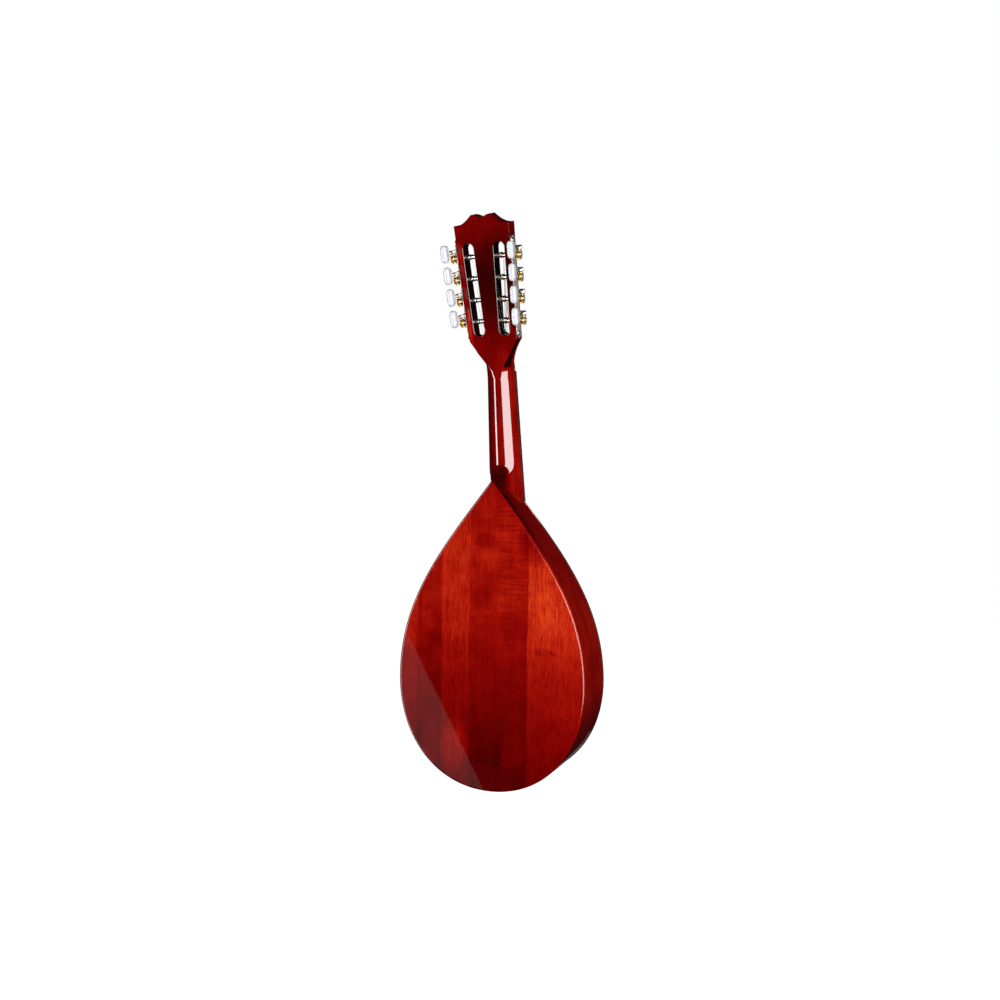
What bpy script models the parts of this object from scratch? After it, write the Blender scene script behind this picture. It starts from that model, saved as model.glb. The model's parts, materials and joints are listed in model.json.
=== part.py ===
"""A small flat-back bouzouki: teardrop body, short neck, slotted head, two strips of four geared tuning machines.

Every piece is one object. Lengths are in metres. The model is written in the instrument's own coordinates, which the empty
"bouzouki" then moves so that the origin is at the middle of the base of its box:
  x  across, towards the treble side
  y  from the soundboard's face (y = 0) towards the back
  z  from the tail (z = 0) along the centre line towards the head
"""

import math

import bmesh
import bpy
from mathutils import Matrix, Vector

# ---------------------------------------------------------------- driving dimensions
GAP = 0.0003  # between pieces that touch

# body
BODY_LENGTH = 0.3363
BODY_HALF_WIDTH = 0.11005
WIDEST_Z = 0.11886
APEX_HANDLE = (0.05777, 0.07259)  # across, and down from the apex
UPPER_HANDLE = 0.08629
LOWER_HANDLE = 0.06724
TAIL_HANDLE = 0.06639
DEPTH_AT_TAIL = 0.0714
DEPTH_AT_APEX = 0.0439
PLATE = 0.0025  # soundboard and back
RIM = 0.0022
LINING_WIDTH = 0.005
LINING_DEPTH = 0.006
SOUND_HOLE_Z = 0.222
SOUND_HOLE_RADIUS = 0.030
NECK_BLOCK_Z = 0.283  # inner end of the neck block
TAIL_BLOCK_HALF_WIDTH = 0.026
TAIL_BLOCK_HEIGHT = 0.018

# neck and fretboard
JOINT_Z = 0.3122  # where the fretboard's edge meets the soundboard's edge
NUT_Z = 0.4537
BOARD_AT_JOINT = -0.0041  # y of the fretboard's face
BOARD_AT_NUT = 0.0045
BOARD_THICKNESS = 0.005
BOARD_END_Z = 0.2555
HALF_WIDTH_AT_NUT = 0.0156
HALF_WIDTH_AT_JOINT = 0.0197
NECK_DEPTH_AT_NUT = 0.0150
NECK_DEPTH_AT_JOINT = 0.0162
SCALE_LENGTH = 0.350
FRETS = 16
FRET_WIDTH = 0.0016
FRET_HEIGHT = 0.0010

# head
HEAD_TILT = 0.2046
HEAD_BACK_AT_NUT = 0.02487  # y of the head's back face where it meets the nut's plane
HEAD_THICKNESS = 0.0150
TAPER_START = 0.03265  # along the head from the nut's plane
HEAD_HALF_WIDTH_LOW = 0.0279
HEAD_HALF_WIDTH_TOP = 0.0320
HEAD_TOP = 0.15665  # height of the two top corners
CROWN_VALLEY = 0.1638
CROWN_PEAK = 0.1668
CROWN_PEAK_X = 0.0108
SLOT_CENTRE_X = 0.0164
SLOT_WIDTH = 0.0122
SLOT_LOW = 0.0385
SLOT_HIGH = 0.1375

# tuning machines: a is out from the head's side, h is behind the head's back face, s is along the head
POST_S = (0.0536, 0.0766, 0.0996, 0.1226)
POST_H = -0.0052
POST_RADIUS = 0.0026
SPINDLE_RADIUS = 0.0019
PLATE_THICKNESS = 0.0010
PLATE_HALF_HEIGHT = 0.0052
PLATE_LOW = 0.0345
PLATE_HIGH = 0.1430
GEAR_TEETH = 14
GEAR_TIP_RADIUS = 0.0055
GEAR_ROOT_RADIUS = 0.0043
GEAR_IN = 0.0050
GEAR_OUT = 0.0092
WORM_A = 0.0071  # out from the head's side
WORM_OFFSET = 0.0070  # from the post's axis towards the head's tip
WORM_PITCH = 0.00222
WORM_MEAN_RADIUS = 0.00180
WORM_THROW = 0.00055
SHAFT_RADIUS = 0.0011
LUG_H = 0.0042
LUG_THICKNESS = 0.0010
BUTTON_CENTRE_H = 0.0147
BUTTON_LENGTH = 0.0200
BUTTON_WIDTH = 0.0072
BUTTON_DEPTH = 0.0105

# strings
BRIDGE_Z = 0.1043
BRIDGE_TOP = -0.0195
NUT_TOP = 0.0031
TAIL_HOOK = (-0.0062, 0.0415)  # y and z where the strings leave the tailpiece
STRING_RADII = (0.00045, 0.00045, 0.00034, 0.00034, 0.00022, 0.00022, 0.00018, 0.00018)  # bass to treble
PAIR_SPACING = 0.0024
NUT_SPREAD = 0.0262
BRIDGE_SPREAD = 0.0400

# the middle of the base of the whole object's box, in the instrument's coordinates
BASE_CENTRE = (0.0, 0.0255, -0.0014)

DRAWN = 0.001  # outlines are drawn in millimetres, because Blender's curve fill merges points that are very close

# ---------------------------------------------------------------- scene
for old in list(bpy.data.objects):
    bpy.data.objects.remove(old, do_unlink=True)

parts = bpy.data.collections.new("bouzouki")
cutters = bpy.data.collections.new("bouzouki_cutters")
for collection in (parts, cutters):
    bpy.context.scene.collection.children.link(collection)
cutters.hide_render = True


def material(name, colour, roughness, metallic=0.0):
    made = bpy.data.materials.new(name)
    made.use_nodes = True
    shader = made.node_tree.nodes["Principled BSDF"]
    shader.inputs["Base Color"].default_value = (*colour, 1.0)
    shader.inputs["Roughness"].default_value = roughness
    shader.inputs["Metallic"].default_value = metallic
    made.diffuse_color = (*colour, 1.0)
    return made


BACK_WOOD = material("red_varnished_back", (0.42, 0.04, 0.008), 0.18)
RIM_WOOD = material("red_varnished_rim", (0.16, 0.004, 0.003), 0.18)
NECK_WOOD = material("red_varnished_neck", (0.25, 0.008, 0.004), 0.15)
TOP_WOOD = material("spruce_top", (0.62, 0.36, 0.14), 0.3)
INNER_WOOD = material("inner_spruce", (0.60, 0.42, 0.24), 0.7)
DARK_WOOD = material("dark_fretboard", (0.03, 0.012, 0.008), 0.45)
BONE = material("bone", (0.85, 0.80, 0.68), 0.4)
PEARL = material("white_pearl_plastic", (0.88, 0.87, 0.90), 0.2)
NICKEL = material("nickel", (0.62, 0.60, 0.57), 0.25, 1.0)
BRASS = material("brass", (0.75, 0.48, 0.16), 0.3, 1.0)
STEEL = material("string_steel", (0.6, 0.6, 0.6), 0.3, 1.0)


def empty(name, parent=None, location=(0, 0, 0), rotation=(0, 0, 0)):
    made = bpy.data.objects.new(name, None)
    made.empty_display_size = 0.01
    parts.objects.link(made)
    made.parent = parent
    made.location = location
    made.rotation_euler = rotation
    return made


root = empty("bouzouki_frame", location=tuple(-c for c in BASE_CENTRE))
# the head's own coordinates: x across, y behind the head's back face, z along the head from the nut's plane
head = empty("head_frame", root, (0, HEAD_BACK_AT_NUT, NUT_Z), (-HEAD_TILT, 0, 0))


def add(name, mesh, look, parent=root, location=(0, 0, 0), rotation=(0, 0, 0), smooth=None, collection=parts):
    made = bpy.data.objects.new(name, mesh)
    collection.objects.link(made)
    made.parent = parent
    made.location = location
    made.rotation_euler = rotation
    mesh.materials.clear()
    if look:
        mesh.materials.append(look)
    if smooth:
        mesh.shade_smooth()
        mesh.set_sharp_from_angle(angle=math.radians(smooth))
    if collection is cutters:
        made.hide_render = True
        made.display_type = "WIRE"
    return made


def face_out(work):
    bmesh.ops.recalc_face_normals(work, faces=work.faces)
    if work.calc_volume(signed=True) < 0:
        bmesh.ops.reverse_faces(work, faces=work.faces)


def baked(obj, weld=1e-6):
    """The evaluated mesh of an object, welded, in the object's own coordinates; the object is removed."""
    bpy.context.view_layer.update()
    graph = bpy.context.evaluated_depsgraph_get()
    mesh = bpy.data.meshes.new_from_object(obj.evaluated_get(graph))
    work = bmesh.new()
    work.from_mesh(mesh)
    bmesh.ops.remove_doubles(work, verts=work.verts, dist=weld)
    face_out(work)
    work.to_mesh(mesh)
    work.free()
    bpy.data.objects.remove(obj, do_unlink=True)
    return mesh


def flat_mesh(loops, thickness):
    """A flat outline, with holes where a loop lies inside another, extruded to its thickness about its own plane."""
    curve = bpy.data.curves.new("outline", "CURVE")
    curve.dimensions = "2D"
    curve.fill_mode = "BOTH"
    curve.extrude = thickness / 2 / DRAWN
    for loop in loops:
        spline = curve.splines.new("POLY")
        spline.points.add(len(loop) - 1)
        for point, (x, y) in zip(spline.points, loop):
            point.co = (x / DRAWN, y / DRAWN, 0, 1)
        spline.use_cyclic_u = True
    holder = bpy.data.objects.new("outline", curve)
    parts.objects.link(holder)
    return moved(baked(holder, weld=1e-6 / DRAWN), Matrix.Scale(DRAWN, 4))


def drawn_out(loop, thickness):
    """One flat outline drawn out to its thickness about its own plane, for outlines with many fine steps."""
    work = bmesh.new()
    face = work.faces.new([work.verts.new((x, y, -thickness / 2)) for x, y in loop])
    grown = bmesh.ops.extrude_face_region(work, geom=[face])
    bmesh.ops.translate(work, vec=(0, 0, thickness), verts=[v for v in grown["geom"] if isinstance(v, bmesh.types.BMVert)])
    bmesh.ops.triangulate(work, faces=[f for f in work.faces if len(f.verts) > 4])
    face_out(work)
    mesh = bpy.data.meshes.new("outline")
    work.to_mesh(mesh)
    work.free()
    return mesh


def moved(mesh, matrix=None, rule=None):
    """The mesh with a matrix applied, then a rule on each point, with its faces kept pointing out."""
    work = bmesh.new()
    work.from_mesh(mesh)
    if matrix is not None:
        bmesh.ops.transform(work, matrix=matrix, verts=work.verts)
    if rule is not None:
        for vert in work.verts:
            vert.co = rule(vert.co.copy())
    face_out(work)
    work.to_mesh(mesh)
    work.free()
    return mesh


# an outline drawn as (x, z) of the instrument, thick along y
UPRIGHT = Matrix.Rotation(math.radians(90), 4, "X")


def upright(loops, y_front, y_back, rule=None):
    """A plate whose outline is drawn in (x, z), from y_front to y_back."""
    mesh = flat_mesh(loops, y_back - y_front)
    return moved(mesh, Matrix.Translation((0, (y_front + y_back) / 2, 0)) @ UPRIGHT, rule)


def box_mesh(low, high):
    work = bmesh.new()
    bmesh.ops.create_cube(work, size=1.0)
    low, high = Vector(low), Vector(high)
    size = high - low
    for vert in work.verts:
        vert.co = Vector([low[i] + (vert.co[i] + 0.5) * size[i] for i in range(3)])
    mesh = bpy.data.meshes.new("box")
    work.to_mesh(mesh)
    work.free()
    return mesh


def rod_mesh(radius, start, end, sides=16, axis="Z"):
    """A cylinder on the named axis from start to end."""
    work = bmesh.new()
    bmesh.ops.create_cone(work, cap_ends=True, segments=sides, radius1=radius, radius2=radius, depth=abs(end - start))
    bmesh.ops.translate(work, vec=(0, 0, (start + end) / 2), verts=work.verts)
    if axis == "X":
        bmesh.ops.rotate(work, matrix=Matrix.Rotation(math.radians(90), 3, "Y"), verts=work.verts)
    elif axis == "Y":
        bmesh.ops.rotate(work, matrix=Matrix.Rotation(math.radians(-90), 3, "X"), verts=work.verts)
    mesh = bpy.data.meshes.new("rod")
    work.to_mesh(mesh)
    work.free()
    return mesh


def combine(obj, operation, tool):
    """A Boolean between two objects of the same coordinates."""
    step = obj.modifiers.new(operation.lower() + "_" + tool.name, "BOOLEAN")
    step.operation = operation
    step.solver = "EXACT"
    step.object = tool


def cut(obj, mesh, name, parent=root, location=(0, 0, 0), rotation=(0, 0, 0), operation="DIFFERENCE"):
    tool = add(name, mesh, None, parent, location, rotation, collection=cutters)
    combine(obj, operation, tool)
    return tool


# ---------------------------------------------------------------- body outline
def bezier(p0, p1, p2, p3, t):
    a, b, c, d = (1 - t) ** 3, 3 * (1 - t) ** 2 * t, 3 * (1 - t) * t * t, t**3
    point = (a * p0[0] + b * p1[0] + c * p2[0] + d * p3[0], a * p0[1] + b * p1[1] + c * p2[1] + d * p3[1])
    e, f, g = 3 * (1 - t) ** 2, 6 * (1 - t) * t, 3 * t * t
    run = (
        e * (p1[0] - p0[0]) + f * (p2[0] - p1[0]) + g * (p3[0] - p2[0]),
        e * (p1[1] - p0[1]) + f * (p2[1] - p1[1]) + g * (p3[1] - p2[1]),
    )
    return point, run


def half_outline(inset=0.0, steps=20, start_x=0.0, keep=None):
    """Points of the treble half of the body's outline from the apex to the tail, moved in by inset and kept at x >= start_x."""
    w, zw, length = BODY_HALF_WIDTH, WIDEST_Z, BODY_LENGTH
    upper = ((0, length), (APEX_HANDLE[0], length - APEX_HANDLE[1]), (w, zw + UPPER_HANDLE), (w, zw))
    lower = ((w, zw), (w, zw - LOWER_HANDLE), (TAIL_HANDLE, 0), (0, 0))
    raw = []
    for k in range(2 * steps + 1):
        piece, t = (upper, k / steps) if k <= steps else (lower, k / steps - 1)
        (x, z), (dx, dz) = bezier(*piece, t)
        size = math.hypot(dx, dz)
        # the outline runs down the right side, so inwards is to the right of the run
        raw.append((x + inset * dz / size, z - inset * dx / size))
    found = []
    for a, b in zip(raw, raw[1:]):
        for first, second, at_start in ((a, b, True), (b, a, False)):
            if first[0] >= start_x and at_start:
                found.append(first)
        if (a[0] - start_x) * (b[0] - start_x) < 0:
            t = (start_x - a[0]) / (b[0] - a[0])
            found.append((start_x, a[1] + t * (b[1] - a[1])))
    if raw[-1][0] >= start_x:
        found.append(raw[-1])
    return [p for p in found if keep is None or keep(*p)]


def mirrored(points):
    return [(-x, z) for x, z in points]


def whole(points):
    """Both halves as one closed loop, without doubling points on the centre line."""
    other = [(-x, z) for x, z in reversed(points) if x > 1e-7]
    return points + other


def back_y(z):
    return DEPTH_AT_TAIL - (DEPTH_AT_TAIL - DEPTH_AT_APEX) / BODY_LENGTH * z


def follow_back(front, back_gap):
    """A rule for points drawn between y = 0 and y = 1: front at 0, and back_gap short of the back's outer face at 1."""

    def rule(co):
        end = back_y(co.z) - back_gap
        return Vector((co.x, front(co.z) + co.y * (end - front(co.z)), co.z))

    return rule


INSIDE_BACK = PLATE + GAP

# soundboard, cut short where the neck's end lies over the apex
top_edge = half_outline(steps=22, keep=lambda x, z: z < JOINT_Z - 0.0008)
hole = [
    (SOUND_HOLE_RADIUS * math.cos(a), SOUND_HOLE_Z + SOUND_HOLE_RADIUS * math.sin(a))
    for a in (2 * math.pi * k / 40 for k in range(40))
]
add("soundboard", upright([whole(top_edge), hole], 0, PLATE), TOP_WOOD, smooth=35)

# back, flat and closer to the top at the apex than at the tail
add(
    "back_plate",
    upright([whole(half_outline(steps=22))], 0, 1, follow_back(lambda z: back_y(z) - PLATE, 0)),
    BACK_WOOD,
    smooth=35,
)

# the two bent sides
outer = half_outline(steps=22, start_x=GAP / 2)
inner = half_outline(RIM, steps=22, start_x=GAP / 2)
rims = {}
for side, flip in (("treble", 1), ("bass", -1)):
    loop = [(flip * x, z) for x, z in outer + inner[::-1]]
    mesh = upright([loop], 0, 1, follow_back(lambda z: PLATE + GAP, INSIDE_BACK))
    rims[side] = add("rim_" + side, mesh, RIM_WOOD, smooth=35)

# linings: strips glued in the corners between the sides and the plates
for side, flip in (("treble", 1), ("bass", -1)):
    near = half_outline(RIM + GAP, steps=14, keep=lambda x, z: z < NECK_BLOCK_Z - 0.002 and (z > 0.05 or x > TAIL_BLOCK_HALF_WIDTH + 0.001))
    far = half_outline(RIM + GAP + LINING_WIDTH, steps=14, keep=lambda x, z: z < NECK_BLOCK_Z - 0.002 and (z > 0.05 or x > TAIL_BLOCK_HALF_WIDTH + 0.001))
    loop = [(flip * x, z) for x, z in near + far[::-1]]
    mesh = upright([loop], 0, 1, lambda co: Vector((co.x, PLATE + GAP + co.y * LINING_DEPTH, co.z)))
    add("lining_front_" + side, mesh, INNER_WOOD)
    mesh = upright([loop], 0, 1, follow_back(lambda z: back_y(z) - INSIDE_BACK - LINING_DEPTH, INSIDE_BACK))
    add("lining_back_" + side, mesh, INNER_WOOD)

# blocks at the neck and at the tail
block_edge = half_outline(RIM + GAP, steps=22, keep=lambda x, z: z > NECK_BLOCK_Z)
block_loop = whole([(0.0, half_outline(RIM + GAP, steps=22, start_x=0.0)[0][1])] + [p for p in block_edge if p[0] > 0.001] + [(block_edge[-1][0], NECK_BLOCK_Z)])
neck_block = add(
    "neck_block",
    upright([block_loop], 0, 1, follow_back(lambda z: PLATE + GAP, INSIDE_BACK)),
    INNER_WOOD,
)
tail_edge = half_outline(RIM + GAP, steps=22, keep=lambda x, z: z < 0.1 and x < TAIL_BLOCK_HALF_WIDTH)
tail_loop = whole([(0.0, TAIL_BLOCK_HEIGHT), (TAIL_BLOCK_HALF_WIDTH, TAIL_BLOCK_HEIGHT)] + tail_edge)
add("tail_block", upright([tail_loop], 0, 1, follow_back(lambda z: PLATE + GAP, INSIDE_BACK)), INNER_WOOD)


# braces across the plates
def half_inside(z):
    """Half the room between the linings at this height."""
    edge = half_outline(RIM + 2 * GAP + LINING_WIDTH, steps=40)
    best = 0.0
    for a, b in zip(edge, edge[1:]):
        if min(a[1], b[1]) <= z <= max(a[1], b[1]) and abs(a[1] - b[1]) > 1e-9:
            t = (z - a[1]) / (b[1] - a[1])
            best = max(best, a[0] + t * (b[0] - a[0]))
    return best


for name, z, wide, deep in (("top_brace_upper", 0.2625, 0.007, 0.011), ("top_brace_lower", 0.178, 0.007, 0.011)):
    reach = min(half_inside(z - wide / 2), half_inside(z + wide / 2)) - 0.0015
    add(name, box_mesh((-reach, PLATE + GAP, z - wide / 2), (reach, PLATE + GAP + deep, z + wide / 2)), INNER_WOOD)
BACK_BRACE_Z, BACK_BRACE_WIDE, BACK_BRACE_DEEP = 0.150, 0.009, 0.011
reach = min(half_inside(BACK_BRACE_Z - 0.0045), half_inside(BACK_BRACE_Z + 0.0045)) - 0.0015
add(
    "back_brace",
    moved(
        box_mesh((-reach, 0, BACK_BRACE_Z - BACK_BRACE_WIDE / 2), (reach, 1, BACK_BRACE_Z + BACK_BRACE_WIDE / 2)),
        rule=follow_back(lambda z: back_y(z) - INSIDE_BACK - BACK_BRACE_DEEP, INSIDE_BACK),
    ),
    INNER_WOOD,
)

# ---------------------------------------------------------------- neck and head, one piece of wood
BOARD_SLOPE = (BOARD_AT_NUT - BOARD_AT_JOINT) / (NUT_Z - JOINT_Z)


def board_face(z):
    return BOARD_AT_JOINT + BOARD_SLOPE * (z - JOINT_Z)


def board_half_width(z):
    return HALF_WIDTH_AT_JOINT + (HALF_WIDTH_AT_NUT - HALF_WIDTH_AT_JOINT) * (z - JOINT_Z) / (NUT_Z - JOINT_Z)


def smoothstep(t):
    t = min(1.0, max(0.0, t))
    return t * t * (3 - 2 * t)


HEAD_MATRIX = Matrix.Translation((0, HEAD_BACK_AT_NUT, NUT_Z)) @ Matrix.Rotation(-HEAD_TILT, 4, "X")
FLAT_STEPS, ROUND_STEPS = 3, 6


def section(front, back, half_front, half_back, power):
    """A ring: straight across the front, a rounded or square side, and a flat of half_back across the back."""
    front, back = Vector(front), Vector(back)
    half = [(half_back * k / FLAT_STEPS, 1.0) for k in range(FLAT_STEPS + 1)]
    for k in range(1, ROUND_STEPS + 1):
        a = math.pi / 2 * k / ROUND_STEPS
        half.append((half_back + (half_front - half_back) * math.sin(a) ** (2 / power), math.cos(a) ** (2 / power) if k < ROUND_STEPS else 0.0))
    ring = [(-x, d) for x, d in reversed(half[1:])] + half
    return [front + Vector((x, 0, 0)) + (back - front) * d for x, d in ring]


rings = []
# the heel deepens towards the apex of the body, then the neck runs up to the nut
HEEL = ((JOINT_Z, 1.0, 1.05), (0.3300, 1.0, 1.05), (0.3366, 1.0, 1.08), (0.3384, 0.66, 1.22), (0.3408, 0.40, 1.45), (0.3440, 0.20, 1.75), (0.3480, 0.07, 2.0), (0.3530, 0.0, 2.15))
for z, share, power in HEEL:
    front = board_face(z) + BOARD_THICKNESS + GAP
    plain = NECK_DEPTH_AT_JOINT
    full = back_y(BODY_LENGTH) - 0.0012 - front
    rings.append(section((0, front, z), (0, front + plain + (full - plain) * share, z), board_half_width(z) - 0.0001, 0.0, power))
for k in range(1, 6):
    z = 0.3530 + (0.4440 - 0.3530) * k / 5
    front = board_face(z) + BOARD_THICKNESS + GAP
    depth = NECK_DEPTH_AT_JOINT + (NECK_DEPTH_AT_NUT - NECK_DEPTH_AT_JOINT) * (z - JOINT_Z) / (NUT_Z - JOINT_Z)
    rings.append(section((0, front, z), (0, front + depth, z), board_half_width(z) - 0.0001, 0.0, 2.15))


def head_half_width(s):
    if s >= TAPER_START:
        return HEAD_HALF_WIDTH_LOW + (HEAD_HALF_WIDTH_TOP - HEAD_HALF_WIDTH_LOW) * (s - TAPER_START) / (HEAD_TOP - TAPER_START)
    t = max(0.0, (s - 0.002) / (TAPER_START - 0.002))
    return HALF_WIDTH_AT_NUT + (HEAD_HALF_WIDTH_LOW - HALF_WIDTH_AT_NUT) * t**1.9


def head_back_half(s):
    """The flat of the back narrows to a point on the neck."""
    t = min(1.0, max(0.0, (s + 0.004) / (TAPER_START + 0.004)))
    return (HEAD_HALF_WIDTH_LOW if s <= TAPER_START else head_half_width(s)) * (t**0.85 if t < 1 else 1.0)


for s in (-0.002, 0.004, 0.010, 0.016, 0.022, 0.028, TAPER_START, 0.090, 0.172):
    front = HEAD_MATRIX @ Vector((0, -HEAD_THICKNESS, s))
    back = HEAD_MATRIX @ Vector((0, 0, s))
    wide = head_half_width(s)
    flat = min(wide - 0.0004, max(0.0, head_back_half(s)))
    rings.append(section(front, back, wide, flat, 2.15 - 0.9 * smoothstep((s + 0.002) / 0.012) + (1.75 * smoothstep((s - 0.024) / 0.008))))


def loft(rings):
    work = bmesh.new()
    rows = [[work.verts.new(p) for p in ring] for ring in rings]
    for low, high in zip(rows, rows[1:]):
        for k in range(len(low)):
            j = (k + 1) % len(low)
            work.faces.new((low[k], low[j], high[j], high[k]))
    work.faces.new(list(reversed(rows[0])))
    work.faces.new(rows[-1])
    bmesh.ops.remove_doubles(work, verts=work.verts, dist=1e-6)
    bmesh.ops.triangulate(work, faces=[f for f in work.faces if len(f.verts) > 4])
    face_out(work)
    mesh = bpy.data.meshes.new("loft")
    work.to_mesh(mesh)
    work.free()
    return mesh


neck = add("neck", loft(rings), NECK_WOOD, smooth=40)

# the notch that fits over the body's apex, under a tongue of the neck that takes the soundboard's place there
notch = [(x, z) for x, z in whole(half_outline(-GAP, steps=22))]
notch_edge = [(x, z) for x, z in half_outline(-GAP, steps=30) if z > 0.25]
notch_loop = whole([(0.0, BODY_LENGTH + GAP / math.sin(math.atan2(*APEX_HANDLE)))] + [p for p in notch_edge if p[0] > 0.0004])
cut(neck, upright([notch_loop], PLATE, 0.060), "neck_notch")
tenon = add("neck_tenon", box_mesh((-0.0075, PLATE + GAP, 0.300), (0.0075, 0.026, 0.3375)), None, collection=cutters)
combine(neck, "UNION", tenon)
mortise = add("neck_mortise", box_mesh((-0.0078, -0.005, 0.2997), (0.0078, 0.0263, 0.345)), None, collection=cutters)
for piece in (rims["treble"], rims["bass"], neck_block):
    combine(piece, "DIFFERENCE", mortise)

# the crown: two bumps with a valley between them, and hollows running out to the corners
crown = []
for k in range(-24, 25):
    x = HEAD_HALF_WIDTH_TOP * 1.06 * k / 24
    a = abs(x)
    if a <= CROWN_PEAK_X:
        s = CROWN_VALLEY + (CROWN_PEAK - CROWN_VALLEY) * (0.5 - 0.5 * math.cos(math.pi * a / CROWN_PEAK_X))
    else:
        t = (a - CROWN_PEAK_X) / (HEAD_HALF_WIDTH_TOP - CROWN_PEAK_X)
        s = HEAD_TOP + (CROWN_PEAK - HEAD_TOP) * max(0.0, 1 - t) ** 1.8 - 0.0010 * math.sin(math.pi * min(1, t))
    crown.append((x, s))
crown_loop = crown + [(HEAD_HALF_WIDTH_TOP * 1.3, 0.190), (-HEAD_HALF_WIDTH_TOP * 1.3, 0.190)]
cut(neck, upright([crown_loop], -HEAD_THICKNESS - 0.01, 0.01), "crown_cutter", head)

# the two string slots, parallel to the head's sides
SIDE_LEAN = math.atan2(HEAD_HALF_WIDTH_TOP - HEAD_HALF_WIDTH_LOW, HEAD_TOP - TAPER_START)
slot_radius = SLOT_WIDTH / 2
middle_s = (SLOT_LOW + SLOT_HIGH) / 2
slot_run = (SLOT_HIGH - SLOT_LOW) / 2 - slot_radius
slot_loop = [(slot_radius * math.cos(a), slot_run + slot_radius * math.sin(a)) for a in (math.pi * k / 8 for k in range(9))]
slot_loop += [(-x, -z) for x, z in slot_loop]
# a ramp from the head's front face into the low end of each slot, under the strings of the lowest posts
RAMP_LOW, RAMP_HIGH, RAMP_SLOPE = 0.021, 0.047, 0.27
ramp_loop = [(RAMP_LOW, -HEAD_THICKNESS), (RAMP_HIGH, -HEAD_THICKNESS + RAMP_SLOPE * (RAMP_HIGH - RAMP_LOW)), (RAMP_HIGH, -HEAD_THICKNESS - 0.004), (RAMP_LOW - 0.006, -HEAD_THICKNESS - 0.004)]
ACROSS = Matrix(((0, 0, 1, 0), (0, 1, 0, 0), (1, 0, 0, 0), (0, 0, 0, 1)))  # drawn along (z, y), thick along x
for side, flip in (("treble", 1), ("bass", -1)):
    ramp = moved(flat_mesh([ramp_loop], 0.0080), ACROSS)
    cut(neck, ramp, "ramp_cutter_" + side, head, (flip * 0.0158, 0, 0), (0, flip * SIDE_LEAN, 0))
    cut(neck, upright([slot_loop], -HEAD_THICKNESS - 0.01, 0.01), "slot_cutter_" + side, head, (flip * SLOT_CENTRE_X, 0, middle_s), (0, flip * SIDE_LEAN, 0))

# ---------------------------------------------------------------- fretboard and nut
profile = [(board_face(NUT_Z) + BOARD_THICKNESS, NUT_Z), (board_face(JOINT_Z) + BOARD_THICKNESS, JOINT_Z - 0.0002)]
profile += [(-GAP, JOINT_Z - 0.0002), (-GAP, BOARD_END_Z), (board_face(BOARD_END_Z), BOARD_END_Z)]
for n in range(FRETS, 0, -1):
    z = NUT_Z - SCALE_LENGTH * (1 - 2 ** (-n / 12))
    if z < BOARD_END_Z + 0.003:
        continue
    for step, height in ((-0.5, 0), (-0.32, 1), (0.32, 1), (0.5, 0)):
        at = z + step * FRET_WIDTH
        profile.append((board_face(at) - height * FRET_HEIGHT, at))
profile.append((board_face(NUT_Z), NUT_Z))
board = drawn_out([(z, y) for y, z in profile], 2.0)
# drawn along (z, y), thick along x and then tapered to the board's width
board = moved(board, ACROSS, lambda co: Vector((co.x * board_half_width(co.z), co.y, co.z)))
add("fretboard", board, DARK_WOOD)
nut_back = board_face(NUT_Z) + BOARD_THICKNESS - 0.0002
nut_front, nut_low = NUT_TOP + 0.0006, NUT_Z + GAP
nut_profile = [(nut_front, nut_low), (nut_front, nut_low + 0.0020), (nut_front + 0.0018, nut_low + 0.0040), (nut_back, nut_low + 0.0040), (nut_back, nut_low)]
add("nut", moved(flat_mesh([[(z, y) for y, z in nut_profile]], 2 * HALF_WIDTH_AT_NUT - 0.0006), ACROSS), BONE)

# ---------------------------------------------------------------- bridge and tailpiece
bridge_loop = []
for k in range(-12, 13):
    x = 0.046 * k / 12
    bridge_loop.append((x, BRIDGE_TOP + 0.0128 * smoothstep((abs(x) - 0.024) / 0.020)))
bridge_loop += [(0.046, -GAP), (0.020, -GAP), (0.016, -0.004), (-0.016, -0.004), (-0.020, -GAP), (-0.046, -GAP)]
bridge = flat_mesh([bridge_loop], 2.0)
bridge = moved(bridge, rule=lambda co: Vector((co.x, co.y, BRIDGE_Z + co.z * (0.0017 + 0.0042 * smoothstep((co.y - BRIDGE_TOP) / 0.016)))))
add("bridge", bridge, DARK_WOOD)

tail_profile = [(-GAP, -GAP - 0.0000), (-GAP, 0.030), (-0.0045, 0.0412), (-0.0057, 0.0405), (-0.0014, 0.0293), (-0.0014, -0.0014), (0.024, -0.0014), (0.024, -GAP)]
tail = flat_mesh([[(z, y) for y, z in tail_profile]], 0.036)
add("tailpiece", moved(tail, ACROSS), NICKEL)


# ---------------------------------------------------------------- strings
def string_mesh(points, radius):
    curve = bpy.data.curves.new("string", "CURVE")
    curve.dimensions = "3D"
    curve.bevel_depth = radius
    curve.bevel_resolution = 1
    curve.use_fill_caps = True
    spline = curve.splines.new("POLY")
    spline.points.add(len(points) - 1)
    for point, co in zip(spline.points, points):
        point.co = (*co, 1)
    holder = bpy.data.objects.new("string", curve)
    parts.objects.link(holder)
    return baked(holder)


def post_point(side, index, a, h):
    """A point at a out from the head's side at this post, in the instrument's coordinates."""
    s = POST_S[index]
    at = Vector((head_half_width(s), h, s)) + Vector((math.cos(SIDE_LEAN), 0, -math.sin(SIDE_LEAN))) * a
    at.x *= side
    return HEAD_MATRIX @ at


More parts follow.
